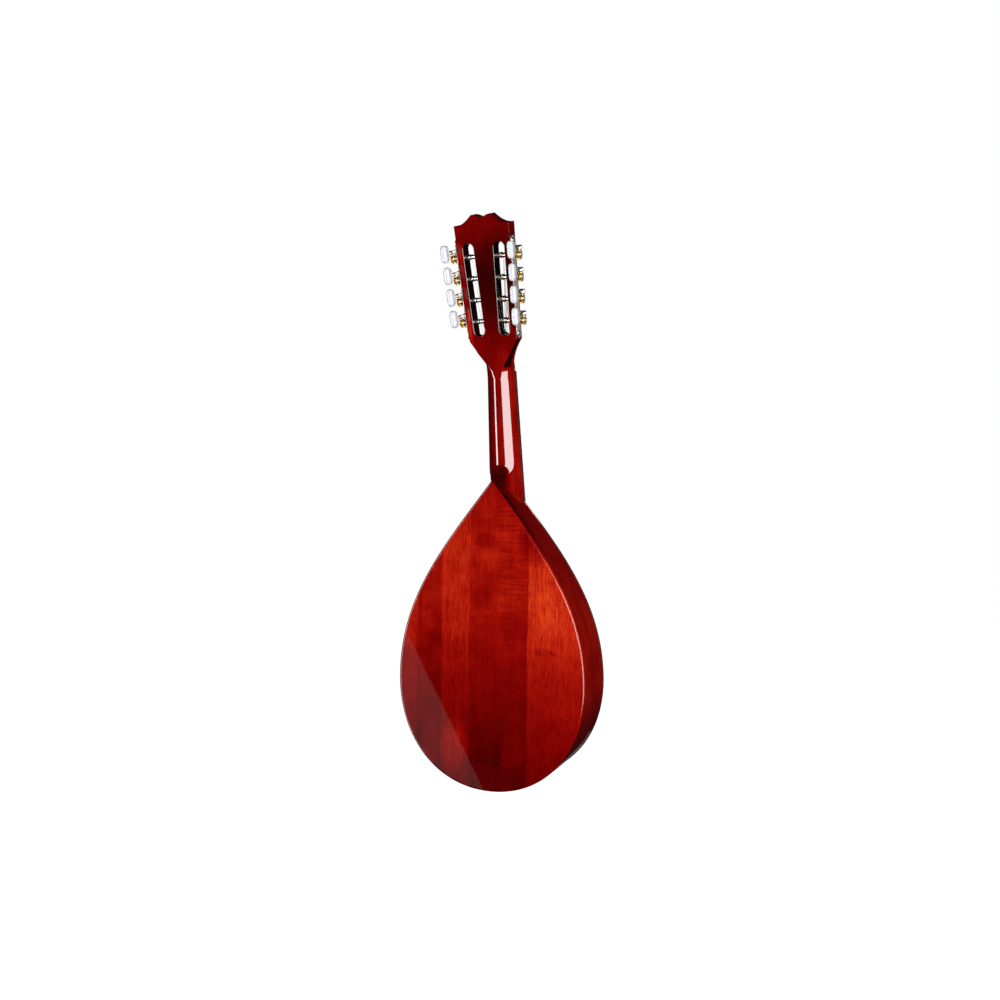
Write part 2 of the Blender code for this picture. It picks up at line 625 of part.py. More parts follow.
for n in range(8):
    pair, second = divmod(n, 2)
    side = -1 if n < 4 else 1
    # the outer courses reach the lowest posts
    index = n if n < 4 else 7 - n
    x_nut = (pair - 1.5) * (NUT_SPREAD - PAIR_SPACING) / 3 + (second - 0.5) * PAIR_SPACING
    x_bridge = (pair - 1.5) * (BRIDGE_SPREAD - PAIR_SPACING) / 3 + (second - 0.5) * PAIR_SPACING
    radius = STRING_RADII[n]
    front_of_post = POST_H - POST_RADIUS - GAP - radius
    end = post_point(side, index, -0.0118, front_of_post)
    path = [
        (x_bridge, TAIL_HOOK[0] - radius, TAIL_HOOK[1]),
        (x_bridge, BRIDGE_TOP - GAP - radius, BRIDGE_Z),
        (x_nut, NUT_TOP - radius + 0.0002, NUT_Z + GAP + 0.002),
        tuple(end),
    ]
    name = "string_%d_%s" % (n + 1, "bass" if n < 4 else "treble")
    add(name, string_mesh(path, radius), STEEL, smooth=40)

# ---------------------------------------------------------------- tuning machines
# Each strip is modelled for the treble side in (a, h, s) and mirrored for the bass side.


def flipped(mesh, side):
    if side > 0:
        return mesh
    return moved(mesh.copy(), Matrix.Scale(-1, 4, (1, 0, 0)))


def gear_mesh():
    loop = []
    for tooth in range(GEAR_TEETH):
        for share, radius in ((-0.30, GEAR_ROOT_RADIUS), (-0.13, GEAR_TIP_RADIUS), (0.13, GEAR_TIP_RADIUS), (0.30, GEAR_ROOT_RADIUS)):
            angle = 2 * math.pi * (tooth + share) / GEAR_TEETH
            loop.append((radius * math.sin(angle), radius * math.cos(angle)))
    bore = [((SPINDLE_RADIUS + GAP) * math.cos(2 * math.pi * k / 10), (SPINDLE_RADIUS + GAP) * math.sin(2 * math.pi * k / 10)) for k in range(10)]
    mesh = flat_mesh([loop, bore], GEAR_OUT - GEAR_IN)
    # drawn in (h, s), thick along a; the teeth lean with the worm's thread
    lean = WORM_PITCH / (2 * math.pi * WORM_MEAN_RADIUS)

    def rule(co):
        turn = co.z * lean / ((GEAR_TIP_RADIUS + GEAR_ROOT_RADIUS) / 2)
        x, y = co.x * math.cos(turn) - co.y * math.sin(turn), co.x * math.sin(turn) + co.y * math.cos(turn)
        return Vector((co.z, x, y))

    return moved(mesh, rule=rule)


def worm_mesh():
    """The shaft along h, with the thread as a circle off the axis that turns once in each pitch."""
    sides = 8
    rings, low, high = [], 0.0002 - LUG_H, LUG_H - 0.0002
    count = 13

    def ring(h, radius, throw=0.0):
        turn = 2 * math.pi * h / WORM_PITCH
        cx, cy = throw * math.sin(turn), throw * math.cos(turn)
        return [Vector((cx + radius * math.cos(2 * math.pi * k / sides), h, cy + radius * math.sin(2 * math.pi * k / sides))) for k in range(sides)]

    rings.append(ring(-LUG_H - LUG_THICKNESS - 0.0012, SHAFT_RADIUS))
    rings.append(ring(low - 0.0002, SHAFT_RADIUS))
    for k in range(count + 1):
        rings.append(ring(low + (high - low) * k / count, WORM_MEAN_RADIUS, WORM_THROW))
    rings.append(ring(high + 0.0002, SHAFT_RADIUS))
    rings.append(ring(BUTTON_CENTRE_H - POST_H + 0.0010, SHAFT_RADIUS))
    return loft(rings)


def button_mesh():
    work = bmesh.new()
    bmesh.ops.create_cube(work, size=1.0)
    for vert in work.verts:
        vert.co = Vector((vert.co.x * BUTTON_WIDTH, vert.co.y * BUTTON_DEPTH, vert.co.z * BUTTON_LENGTH))
    # the corners of the oval first, then a softer edge all round
    upright_edges = [e for e in work.edges if abs(e.verts[0].co.x - e.verts[1].co.x) > 1e-4]
    bmesh.ops.bevel(work, geom=upright_edges, offset=0.0040, segments=2, profile=0.5, affect="EDGES")
    rest = [e for e in work.edges if abs(abs(e.verts[0].co.x) - BUTTON_WIDTH / 2) < 1e-6 and abs(abs(e.verts[1].co.x) - BUTTON_WIDTH / 2) < 1e-6]
    bmesh.ops.bevel(work, geom=rest, offset=0.0015, segments=1, profile=0.5, affect="EDGES")
    face_out(work)
    mesh = bpy.data.meshes.new("button")
    work.to_mesh(mesh)
    work.free()
    holder = bpy.data.objects.new("button", mesh)
    parts.objects.link(holder)
    bore = add("button_bore", rod_mesh(SHAFT_RADIUS + GAP, -BUTTON_DEPTH, 0.0014, 8, "Y"), None, None, collection=cutters)
    combine(holder, "DIFFERENCE", bore)
    return baked(holder)


def post_mesh():
    """Roller in the slot, a thinner spindle through the plate and the gear with a collar between them, and a flat head."""
    profile = [
        (POST_RADIUS, -0.0235),
        (POST_RADIUS, -0.0004),
        (SPINDLE_RADIUS, -0.0004),
        (SPINDLE_RADIUS, PLATE_THICKNESS + 2 * GAP),
        (SPINDLE_RADIUS + 0.0010, PLATE_THICKNESS + 2 * GAP),
        (SPINDLE_RADIUS + 0.0010, GEAR_IN - GAP),
        (SPINDLE_RADIUS, GEAR_IN - GAP),
        (SPINDLE_RADIUS, GEAR_OUT + GAP),
        (SPINDLE_RADIUS + 0.0011, GEAR_OUT + GAP),
        (SPINDLE_RADIUS + 0.0009, GEAR_OUT + 0.0012),
    ]
    sides = 10
    rings = [[Vector((a, r * math.cos(2 * math.pi * k / sides), r * math.sin(2 * math.pi * k / sides))) for k in range(sides)] for r, a in profile]
    return loft(rings)


def plate_mesh():
    """The strip with its holes, two lugs for each worm, bosses under the gears and two screw heads."""
    middle = (PLATE_LOW + PLATE_HIGH) / 2
    half = (PLATE_HIGH - PLATE_LOW) / 2
    r = PLATE_HALF_HEIGHT
    loop = []
    for end in (1, -1):
        for k in range(9):
            a = math.pi * k / 8
            loop.append((end * r * math.cos(a), end * (half - r * 0.55 + r * 0.55 * math.sin(a))))
    loops = [loop]
    for s in POST_S:
        loops.append([((SPINDLE_RADIUS + GAP) * math.cos(2 * math.pi * k / 10), s - middle + (SPINDLE_RADIUS + GAP) * math.sin(2 * math.pi * k / 10)) for k in range(10)])
    mesh = flat_mesh(loops, PLATE_THICKNESS)
    # drawn in (h, s), thick along a
    mesh = moved(mesh, rule=lambda co: Vector((GAP + PLATE_THICKNESS / 2 + co.z, POST_H + co.x, middle + co.y)))
    holder = bpy.data.objects.new("strip", mesh)
    parts.objects.link(holder)
    for number, s in enumerate(POST_S):
        centre = s + WORM_OFFSET
        outline = [(GAP + 0.0004, centre - 0.0025), (WORM_A, centre - 0.0025)]
        outline += [(WORM_A + 0.0025 * math.cos(a), centre + 0.0025 * math.sin(a)) for a in (-math.pi / 2 + math.pi * k / 4 for k in range(1, 4))]
        outline += [(WORM_A, centre + 0.0025), (GAP + 0.0004, centre + 0.0025)]
        eye = [(WORM_A + (SHAFT_RADIUS + GAP) * math.cos(2 * math.pi * k / 8), centre + (SHAFT_RADIUS + GAP) * math.sin(2 * math.pi * k / 8)) for k in range(8)]
        for end in (-1, 1):
            lug = upright([outline, eye], -LUG_THICKNESS / 2, LUG_THICKNESS / 2)
            tool = add("lug_%d_%d" % (number, end), lug, None, None, (0, POST_H + end * (LUG_H + LUG_THICKNESS / 2), 0), collection=cutters)
            combine(holder, "UNION", tool)
    for number, s in enumerate((PLATE_LOW + 0.0055, PLATE_HIGH - 0.0055)):
        screw = bmesh.new()
        bmesh.ops.create_cone(screw, cap_ends=True, segments=12, radius1=0.0030, radius2=0.0018, depth=0.0013)
        bmesh.ops.rotate(screw, matrix=Matrix.Rotation(math.radians(90), 3, "Y"), verts=screw.verts)
        bmesh.ops.translate(screw, vec=(GAP + PLATE_THICKNESS + 0.0005, POST_H, s), verts=screw.verts)
        mesh = bpy.data.meshes.new("screw")
        screw.to_mesh(mesh)
        screw.free()
        tool = add("screw_%d" % number, mesh, None, None, collection=cutters)
        combine(holder, "UNION", tool)
    return baked(holder)


gear, worm, button, post, strip = gear_mesh(), worm_mesh(), button_mesh(), post_mesh(), plate_mesh()
for side, flip in (("treble", 1), ("bass", -1)):
    gear_side, worm_side, button_side, post_side, strip_side = (flipped(m, flip) for m in (gear, worm, button, post, strip))
    # the strip's coordinates: a is 0 on the head's side face at the level of the nut's plane
    foot = head_half_width(TAPER_START) - TAPER_START * math.tan(SIDE_LEAN)
    strip_frame = empty("strip_frame_" + side, head, (flip * foot, 0, 0), (0, flip * SIDE_LEAN, 0))
    add("tuner_plate_" + side, strip_side, NICKEL, strip_frame, smooth=30)
    for number, s in enumerate(POST_S, 1):
        tag = "%s_%d" % (side, number)
        post_axis = empty("post_axis_" + tag, strip_frame, (0, POST_H, s))
        add("post_" + tag, post_side, NICKEL, post_axis, smooth=35)
        add("gear_" + tag, gear_side, BRASS, post_axis, (flip * (GEAR_IN + GEAR_OUT) / 2, 0, 0), smooth=30)
        worm_axis = empty("key_axis_" + tag, strip_frame, (flip * WORM_A, POST_H, s + WORM_OFFSET))
        add("worm_shaft_" + tag, worm_side, NICKEL, worm_axis, smooth=50)
        add("button_" + tag, button_side, PEARL, worm_axis, (0, BUTTON_CENTRE_H - POST_H, 0), smooth=40)
        # the bore in the head's side wall and in the rib between the slots
        cut(neck, rod_mesh(POST_RADIUS + GAP, -0.0240 - 0.0000, 0.004, 14, "X") if flip > 0 else rod_mesh(POST_RADIUS + GAP, -0.004, 0.0240, 14, "X"), "post_bore_" + tag, post_axis)

bpy.context.view_layer.update()
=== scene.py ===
"""Looks for the small flat-back bouzouki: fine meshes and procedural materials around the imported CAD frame.

Everything is written in the instrument's own coordinates, as the CAD was, and then moved to the row frame:
  x  across, towards the treble side;  y  from the soundboard's face towards the back;  z  from the tail towards the head
"""

import json
import math

import bmesh
import bpy
from mathutils import Matrix, Vector

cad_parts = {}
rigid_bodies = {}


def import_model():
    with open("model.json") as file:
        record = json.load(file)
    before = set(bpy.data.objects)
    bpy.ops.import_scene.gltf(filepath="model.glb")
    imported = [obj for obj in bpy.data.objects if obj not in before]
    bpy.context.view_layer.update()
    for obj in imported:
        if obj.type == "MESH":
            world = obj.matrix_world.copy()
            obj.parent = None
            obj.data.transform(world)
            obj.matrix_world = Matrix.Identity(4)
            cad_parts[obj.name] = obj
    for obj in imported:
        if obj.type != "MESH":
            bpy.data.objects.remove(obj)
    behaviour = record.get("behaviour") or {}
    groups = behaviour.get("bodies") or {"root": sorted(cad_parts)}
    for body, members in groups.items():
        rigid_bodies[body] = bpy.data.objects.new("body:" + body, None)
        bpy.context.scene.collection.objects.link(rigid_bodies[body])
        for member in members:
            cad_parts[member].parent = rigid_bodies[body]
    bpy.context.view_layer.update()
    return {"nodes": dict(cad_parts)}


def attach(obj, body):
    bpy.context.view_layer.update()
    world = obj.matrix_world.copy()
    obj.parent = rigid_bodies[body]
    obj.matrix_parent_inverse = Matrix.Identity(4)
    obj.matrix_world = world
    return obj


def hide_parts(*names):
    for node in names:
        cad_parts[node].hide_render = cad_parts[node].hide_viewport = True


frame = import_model()

# ---------------------------------------------------------------- the CAD's driving dimensions, in metres
GAP = 0.0003
BODY_LENGTH, BODY_HALF_WIDTH, WIDEST_Z = 0.3363, 0.11005, 0.11886
APEX_HANDLE, UPPER_HANDLE, LOWER_HANDLE, TAIL_HANDLE = (0.05777, 0.07259), 0.08629, 0.06724, 0.06639
DEPTH_AT_TAIL, DEPTH_AT_APEX = 0.0714, 0.0439
PLATE, RIM = 0.0025, 0.0022
SOUND_HOLE_Z, SOUND_HOLE_RADIUS = 0.222, 0.030
JOINT_Z, NUT_Z = 0.3122, 0.4537
BOARD_AT_JOINT, BOARD_AT_NUT, BOARD_THICKNESS, BOARD_END_Z = -0.0041, 0.0045, 0.005, 0.2555
HALF_WIDTH_AT_NUT, HALF_WIDTH_AT_JOINT = 0.0156, 0.0197
NECK_DEPTH_AT_NUT, NECK_DEPTH_AT_JOINT = 0.0150, 0.0162
SCALE_LENGTH, FRETS = 0.350, 16
HEAD_TILT, HEAD_BACK_AT_NUT, HEAD_THICKNESS, TAPER_START = 0.2046, 0.02487, 0.0150, 0.03265
HEAD_HALF_WIDTH_LOW, HEAD_HALF_WIDTH_TOP, HEAD_TOP = 0.0279, 0.0320, 0.15665
CROWN_VALLEY, CROWN_PEAK, CROWN_PEAK_X = 0.1638, 0.1668, 0.0108
SLOT_CENTRE_X, SLOT_WIDTH, SLOT_LOW, SLOT_HIGH = 0.0164, 0.0122, 0.0385, 0.1375
POST_S, POST_H, POST_RADIUS, SPINDLE_RADIUS = (0.0536, 0.0766, 0.0996, 0.1226), -0.0052, 0.0026, 0.0019
PLATE_THICKNESS, PLATE_HALF_HEIGHT, PLATE_LOW, PLATE_HIGH = 0.0010, 0.0052, 0.0345, 0.1430
GEAR_TEETH, GEAR_TIP_RADIUS, GEAR_ROOT_RADIUS, GEAR_IN, GEAR_OUT = 14, 0.0055, 0.0043, 0.0050, 0.0092
WORM_A, WORM_OFFSET, WORM_PITCH, WORM_MEAN_RADIUS, WORM_THROW, SHAFT_RADIUS = 0.0071, 0.0070, 0.00222, 0.00180, 0.00055, 0.0011
LUG_H, LUG_THICKNESS = 0.0042, 0.0010
BUTTON_CENTRE_H, BUTTON_LENGTH, BUTTON_WIDTH, BUTTON_DEPTH = 0.0147, 0.0200, 0.0072, 0.0105
BRIDGE_Z, BRIDGE_TOP, NUT_TOP, TAIL_HOOK = 0.1043, -0.0195, 0.0031, (-0.0062, 0.0415)
STRING_RADII = (0.00045, 0.00045, 0.00034, 0.00034, 0.00022, 0.00022, 0.00018, 0.00018)
PAIR_SPACING, NUT_SPREAD, BRIDGE_SPREAD = 0.0024, 0.0262, 0.0400
SIDE_LEAN = math.atan2(HEAD_HALF_WIDTH_TOP - HEAD_HALF_WIDTH_LOW, HEAD_TOP - TAPER_START)

ROW = Matrix.Translation((0.0, -0.0255, 0.0014))
HEAD_LOCAL = Matrix.Translation((0, HEAD_BACK_AT_NUT, NUT_Z)) @ Matrix.Rotation(-HEAD_TILT, 4, "X")
HEAD = ROW @ HEAD_LOCAL
SIDES = (("treble", 1), ("bass", -1))
scene_collection = bpy.context.scene.collection


# ---------------------------------------------------------------- materials
class Look:
    """A node material, with short ways to add the usual nodes."""

    def __init__(self, name):
        self.material = bpy.data.materials.new(name)
        self.material.use_nodes = True
        self.tree = self.material.node_tree
        self.shader = self.tree.nodes["Principled BSDF"]
        self.object = self.node("ShaderNodeTexCoord").outputs["Object"]
        split = self.node("ShaderNodeSeparateXYZ", {0: self.object})
        self.x, self.y, self.z = split.outputs[0], split.outputs[1], split.outputs[2]

    def node(self, kind, values=None, **settings):
        made = self.tree.nodes.new(kind)
        for key, value in settings.items():
            setattr(made, key, value)
        for key, value in (values or {}).items():
            self.put(made.inputs[key], value)
        return made

    def put(self, socket, value):
        if isinstance(value, bpy.types.NodeSocket):
            self.tree.links.new(value, socket)
        else:
            socket.default_value = value

    def set(self, **values):
        for key, value in values.items():
            self.put(self.shader.inputs[key.replace("_", " ")], value)
        return self

    def math(self, operation, *values, clamp=False):
        made = self.node("ShaderNodeMath", operation=operation, use_clamp=clamp)
        for number, value in enumerate(values):
            self.put(made.inputs[number], value)
        return made.outputs[0]

    def noise(self, scale, detail=2.0, rough=0.5, distortion=0.0, shift=(0, 0, 0), vector=None):
        placed = self.node("ShaderNodeMapping", {"Vector": vector or self.object, "Scale": scale, "Location": shift})
        made = self.node("ShaderNodeTexNoise", {"Vector": placed.outputs[0], "Scale": 1.0, "Detail": detail, "Roughness": rough, "Distortion": distortion})
        return made.outputs[0]

    def span(self, value, low, high, to_low=0.0, to_high=1.0, smooth=True):
        made = self.node("ShaderNodeMapRange", {0: value, 1: low, 2: high, 3: to_low, 4: to_high}, interpolation_type="SMOOTHSTEP" if smooth else "LINEAR")
        return made.outputs[0]

    def ramp(self, value, stops, interpolation="LINEAR"):
        made = self.node("ShaderNodeValToRGB", {0: value})
        made.color_ramp.interpolation = interpolation
        points = made.color_ramp.elements
        while len(points) < len(stops):
            points.new(0.5)
        for point, (at, colour) in zip(points, stops):
            point.position = at
            point.color = (*colour, 1.0) if hasattr(colour, "__len__") else (colour, colour, colour, 1.0)
        return made.outputs[0]

    def mix(self, share, first, second, blend="MIX"):
        made = self.node("ShaderNodeMix", data_type="RGBA", blend_type=blend)
        inputs = [s for s in made.inputs if s.type == "RGBA"]
        self.put(made.inputs[0], share)
        for socket, value in zip(inputs, (first, second)):
            self.put(socket, value if isinstance(value, bpy.types.NodeSocket) else (*value, 1.0))
        return [s for s in made.outputs if s.type == "RGBA"][0]

    def bump(self, height, strength=0.2, distance=0.0002, onto=("Normal",)):
        made = self.node("ShaderNodeBump", {"Height": height, "Strength": strength, "Distance": distance})
        for name in onto:
            self.put(self.shader.inputs[name], made.outputs[0])
        return made.outputs[0]


FILL = 0.80  # base colour for one unit of the photo's linear brightness under this scene's lights


def red(look, value):
    """The varnish colour for a value that holds the stain's depth together with painted light and shade: the darker,
    the purer the red.
    """
    value = look.math("MAXIMUM", value, 0.002)
    r = look.math("MULTIPLY", value, FILL)
    g = look.math("MULTIPLY", look.math("POWER", value, 3.2), 0.300 * FILL)
    b = look.math("MULTIPLY", look.math("POWER", value, 2.4), 0.034 * FILL)
    return look.node("ShaderNodeCombineColor", {0: r, 1: g, 2: b}).outputs[0]


def varnish(look, value, gloss=0.035, coat=1.0, ior=1.62):
    look.set(Base_Color=red(look, value), Roughness=0.55, Specular_IOR_Level=0.0, Coat_Weight=coat, Coat_Roughness=gloss, Coat_IOR=ior)
    look.bump(look.noise((38, 38, 30), 1.5, 0.5), 0.016, 0.0010, onto=("Coat Normal",))
    return look


def facing_x(look):
    """How far a surface faces towards the treble side."""
    return look.node("ShaderNodeSeparateXYZ", {0: look.node("ShaderNodeNewGeometry").outputs["Normal"]}).outputs[0]


def spot(look, px, pz, half_x, half_z, inside, lean=0.0, across=None, along=None):
    """A soft oval patch: a factor of inside at its centre and 1 outside it. lean slants it."""
    u = look.math("SUBTRACT", across or look.x, px)
    w = look.math("SUBTRACT", along or look.z, pz)
    if lean:
        u, w = (
            look.math("ADD", look.math("MULTIPLY", u, math.cos(lean)), look.math("MULTIPLY", w, math.sin(lean))),
            look.math("SUBTRACT", look.math("MULTIPLY", w, math.cos(lean)), look.math("MULTIPLY", u, math.sin(lean))),
        )
    away = look.math("ADD", look.math("POWER", look.math("DIVIDE", u, half_x), 2.0), look.math("POWER", look.math("DIVIDE", w, half_z), 2.0))
    return look.span(away, 0.0, 1.9, inside, 1.0)


def times(look, *values):
    out = values[0]
    for value in values[1:]:
        out = look.math("MULTIPLY", out, value)
    return out


def back_look():
    """Six strips of wood: each with its own depth of stain, pores along Z and figure across it, under painted light
    that falls off towards the tail.
    """
    look = Look("varnished_strip_back")
    edge = look.math("MULTIPLY", look.math("SUBTRACT", look.noise((9, 9, 9), 1.0), 0.5), 0.004)
    x = look.math("ADD", look.x, edge)
    place = look.math("DIVIDE", look.math("ADD", x, 0.115), 0.230)
    at = [(b / 1000 + 0.115) / 0.230 for b in (-45.2, -12.5, 23.0, 57.3, 87.0)]
    stops = list(zip([0.0, *at], (0.455, 0.267, 0.262, 0.366, 0.245, 0.320)))
    depth = look.ramp(place, stops, "CONSTANT")
    # pores (red), blotches (green) and curl (blue), strip by strip from the bass side
    traits = look.ramp(place, list(zip([0.0, *at], ((0.85, 0.20, 0.20), (0.50, 0.30, 0.95), (0.50, 0.40, 0.30), (1.0, 0.22, 0.10), (0.60, 0.50, 0.25), (0.60, 0.40, 0.20)))), "CONSTANT")
    trait = look.node("ShaderNodeSeparateColor", {0: traits})
    pores_share, blotch_share, curl_share = trait.outputs[0], trait.outputs[1], trait.outputs[2]
    # painted light and shade: the back is painted brightest across its upper part and darker towards the tail and
    # towards the neck
    along = look.ramp(
        look.math("DIVIDE", look.z, 0.345),
        [(0.0, 0.26), (0.055, 0.29), (0.135, 0.36), (0.235, 0.48), (0.33, 0.60), (0.42, 0.75), (0.50, 0.98), (0.60, 1.08), (0.80, 1.12), (0.92, 0.94), (1.0, 0.80)],
    )
    warp = look.noise((26, 26, 7), 2.0, 0.5, shift=(5, 0, 1))
    bent = look.node("ShaderNodeCombineXYZ", {0: look.math("ADD", look.x, look.math("MULTIPLY", look.math("SUBTRACT", warp, 0.5), 0.003)), 1: look.y, 2: look.z}).outputs[0]
    pore = look.span(look.noise((860, 300, 62), 2.5, 0.60, vector=bent), 0.46, 0.70)
    fleck = look.span(look.noise((1300, 300, 110), 2.0, 0.6, vector=bent, shift=(7, 2, 4)), 0.42, 0.72)
    pores = look.math("SUBTRACT", 1.0, look.math("MULTIPLY", pores_share, look.math("ADD", look.math("MULTIPLY", pore, 0.34), look.math("MULTIPLY", fleck, 0.30))))
    grain = look.span(look.noise((230, 90, 9), 3.0, 0.6, vector=bent, shift=(1, 6, 3)), 0.30, 0.70, 0.92, 1.07)
    blotch = look.noise((42, 30, 48), 3.0, 0.5, 0.25, shift=(2, 9, 5))
    blotches = look.math("ADD", 1.0, look.math("MULTIPLY", blotch_share, look.span(blotch, 0.34, 0.66, -0.34, 0.26)))
    curl = look.noise((34, 20, 380), 2.5, 0.55, 0.15, shift=(4, 3, 8))
    upper = look.span(look.z, 0.14, 0.22, 0.35, 1.0)
    curls = look.math("ADD", 1.0, look.math("MULTIPLY", times(look, curl_share, upper), look.span(curl, 0.36, 0.64, -0.17, 0.13)))
    # the glue lines between the strips
    lines = 1.0
    for b in (-0.0452, -0.0125, 0.0230, 0.0573, 0.0870):
        near = look.math("ABSOLUTE", look.math("SUBTRACT", x, b))
        lines = look.math("MULTIPLY", lines, look.span(near, 0.0002, 0.0009, 0.93, 1.0))
    # soft darker and lighter patches: x, z, half width, half height, depth
    patches = 1.0
    for px, pz, half_x, half_z, depth_there in (
        (0.0041, 0.2707, 0.013, 0.0075, 0.76),
        (0.0099, 0.2080, 0.013, 0.0130, 0.74),
        (0.0035, 0.2490, 0.015, 0.0105, 1.16),
        (0.0110, 0.0640, 0.010, 0.0110, 0.80),
        (-0.0100, 0.0400, 0.0045, 0.0150, 0.76),
        (0.0410, 0.0450, 0.015, 0.0260, 1.85),
        (0.0700, 0.0450, 0.012, 0.0200, 1.60),
        (-0.0290, 0.0440, 0.012, 0.0200, 1.35),
        (0.0075, 0.0400, 0.008, 0.0130, 0.80),
        (-0.0296, 0.1790, 0.017, 0.0160, 0.78),
        (0.0632, 0.1630, 0.008, 0.0120, 0.80),
        (-0.0560, 0.2760, 0.018, 0.0280, 0.48),
        (-0.0670, 0.1990, 0.016, 0.0230, 1.10),
    ):
        patches = look.math("MULTIPLY", patches, spot(look, px, pz, half_x, half_z, depth_there))
    # one thin dark fleck in the bright strip, leaning a little, with a soft shade beside it
    lean_z = look.math("SUBTRACT", look.z, look.math("MULTIPLY", look.math("SUBTRACT", look.x, -0.0735), 0.42))
    knot_x = look.math("DIVIDE", look.math("SUBTRACT", look.x, -0.0735), 0.0060)
    knot_z = look.math("DIVIDE", look.math("SUBTRACT", lean_z, 0.1540), 0.0010)
    knot = look.span(look.math("ADD", look.math("POWER", knot_x, 2.0), look.math("POWER", knot_z, 2.0)), 0.1, 1.3, 0.62, 1.0)
    shade_x = look.math("DIVIDE", look.math("SUBTRACT", look.x, -0.0640), 0.012)
    shade_z = look.math("DIVIDE", look.math("SUBTRACT", look.z, 0.1550), 0.005)
    knot = look.math("MULTIPLY", knot, look.span(look.math("ADD", look.math("POWER", shade_x, 2.0), look.math("POWER", shade_z, 2.0)), 0.0, 1.6, 0.82, 1.0))
    # the strips' stain and figure, times the painted light along the back
    value = times(look, depth, along, pores, grain, blotches, curls, lines, patches, knot)
    # the lacquer is thin on the rounded edge: it shines there only along the middle of the bass side
    nx = facing_x(look)
    thin_left = look.span(nx, 0.08, 0.22, 1.0, 0.06)
    kept = look.ramp(look.math("DIVIDE", look.z, 0.345), [(0.0, 0.06), (0.26, 0.06), (0.34, 0.75), (0.58, 0.75), (0.74, 0.32), (0.84, 0.06), (1.0, 0.06)])
    thin_right = look.math("SUBTRACT", 1.0, look.math("MULTIPLY", look.span(nx, -0.22, -0.08, 1.0, 0.0), look.math("SUBTRACT", 1.0, kept)))
    # painted shade: the rounded edge is painted darker where it turns towards the treble side
    value = look.math("MULTIPLY", value, look.span(nx, 0.10, 0.40, 1.0, 0.55))
    varnish(look, value, gloss=0.022, coat=look.math("MULTIPLY", thin_left, thin_right))
    return look.material


def side_look():
    look = Look("varnished_side")
    grain = look.span(look.noise((30, 420, 9), 3.0, 0.6), 0.30, 0.70, 0.84, 1.14)
    # painted light and shade: the sides are painted brightest at mid-length and darker towards the tail and towards the
    # neck
    along = look.ramp(look.math("DIVIDE", look.z, 0.345), [(0.0, 0.050), (0.12, 0.080), (0.22, 0.125), (0.33, 0.235), (0.50, 0.250), (0.68, 0.235), (0.78, 0.180), (0.87, 0.145), (0.94, 0.095), (1.0, 0.050)])
    blotch = look.span(look.noise((26, 26, 22), 2.0, 0.5, 0.8), 0.3, 0.7, 0.85, 1.15)
    # painted shade and light: near the shoulder the edge next to the back is painted darker and the edge next to the
    # soundboard lighter
    share = look.math("DIVIDE", look.y, look.math("ADD", DEPTH_AT_TAIL, look.math("MULTIPLY", look.z, (DEPTH_AT_APEX - DEPTH_AT_TAIL) / BODY_LENGTH)))
    shoulder = look.span(look.z, 0.235, 0.315)
    across = look.ramp(share, [(0.0, 1.35), (0.45, 1.25), (0.72, 0.85), (0.86, 0.38), (1.0, 0.30)])
    across = look.math("ADD", 1.0, look.math("MULTIPLY", shoulder, look.math("SUBTRACT", across, 1.0)))
    # painted light: a lighter band high on the sides by the neck, nearer the soundboard
    painted_light_patch = spot(look, 0.26, 0.3170, 0.17, 0.0075, 2.3, across=share)
    value = times(look, along, grain, blotch, across, painted_light_patch)
    # the lacquer is rubbed thin where the treble side meets the back
    rubbed = look.math("MULTIPLY", look.span(share, 0.90, 0.96), look.span(facing_x(look), 0.05, 0.30))
    varnish(look, value, coat=look.math("SUBTRACT", 1.0, look.math("MULTIPLY", rubbed, 0.95)))
    # a pale hair line next to the soundboard, by the neck
    pale = look.math("MULTIPLY", look.span(share, 0.020, 0.045, 1.0, 0.0), look.span(look.z, 0.288, 0.300))
    look.set(Base_Color=look.mix(pale, red(look, value), (0.80, 0.66, 0.55)))
    return look.material


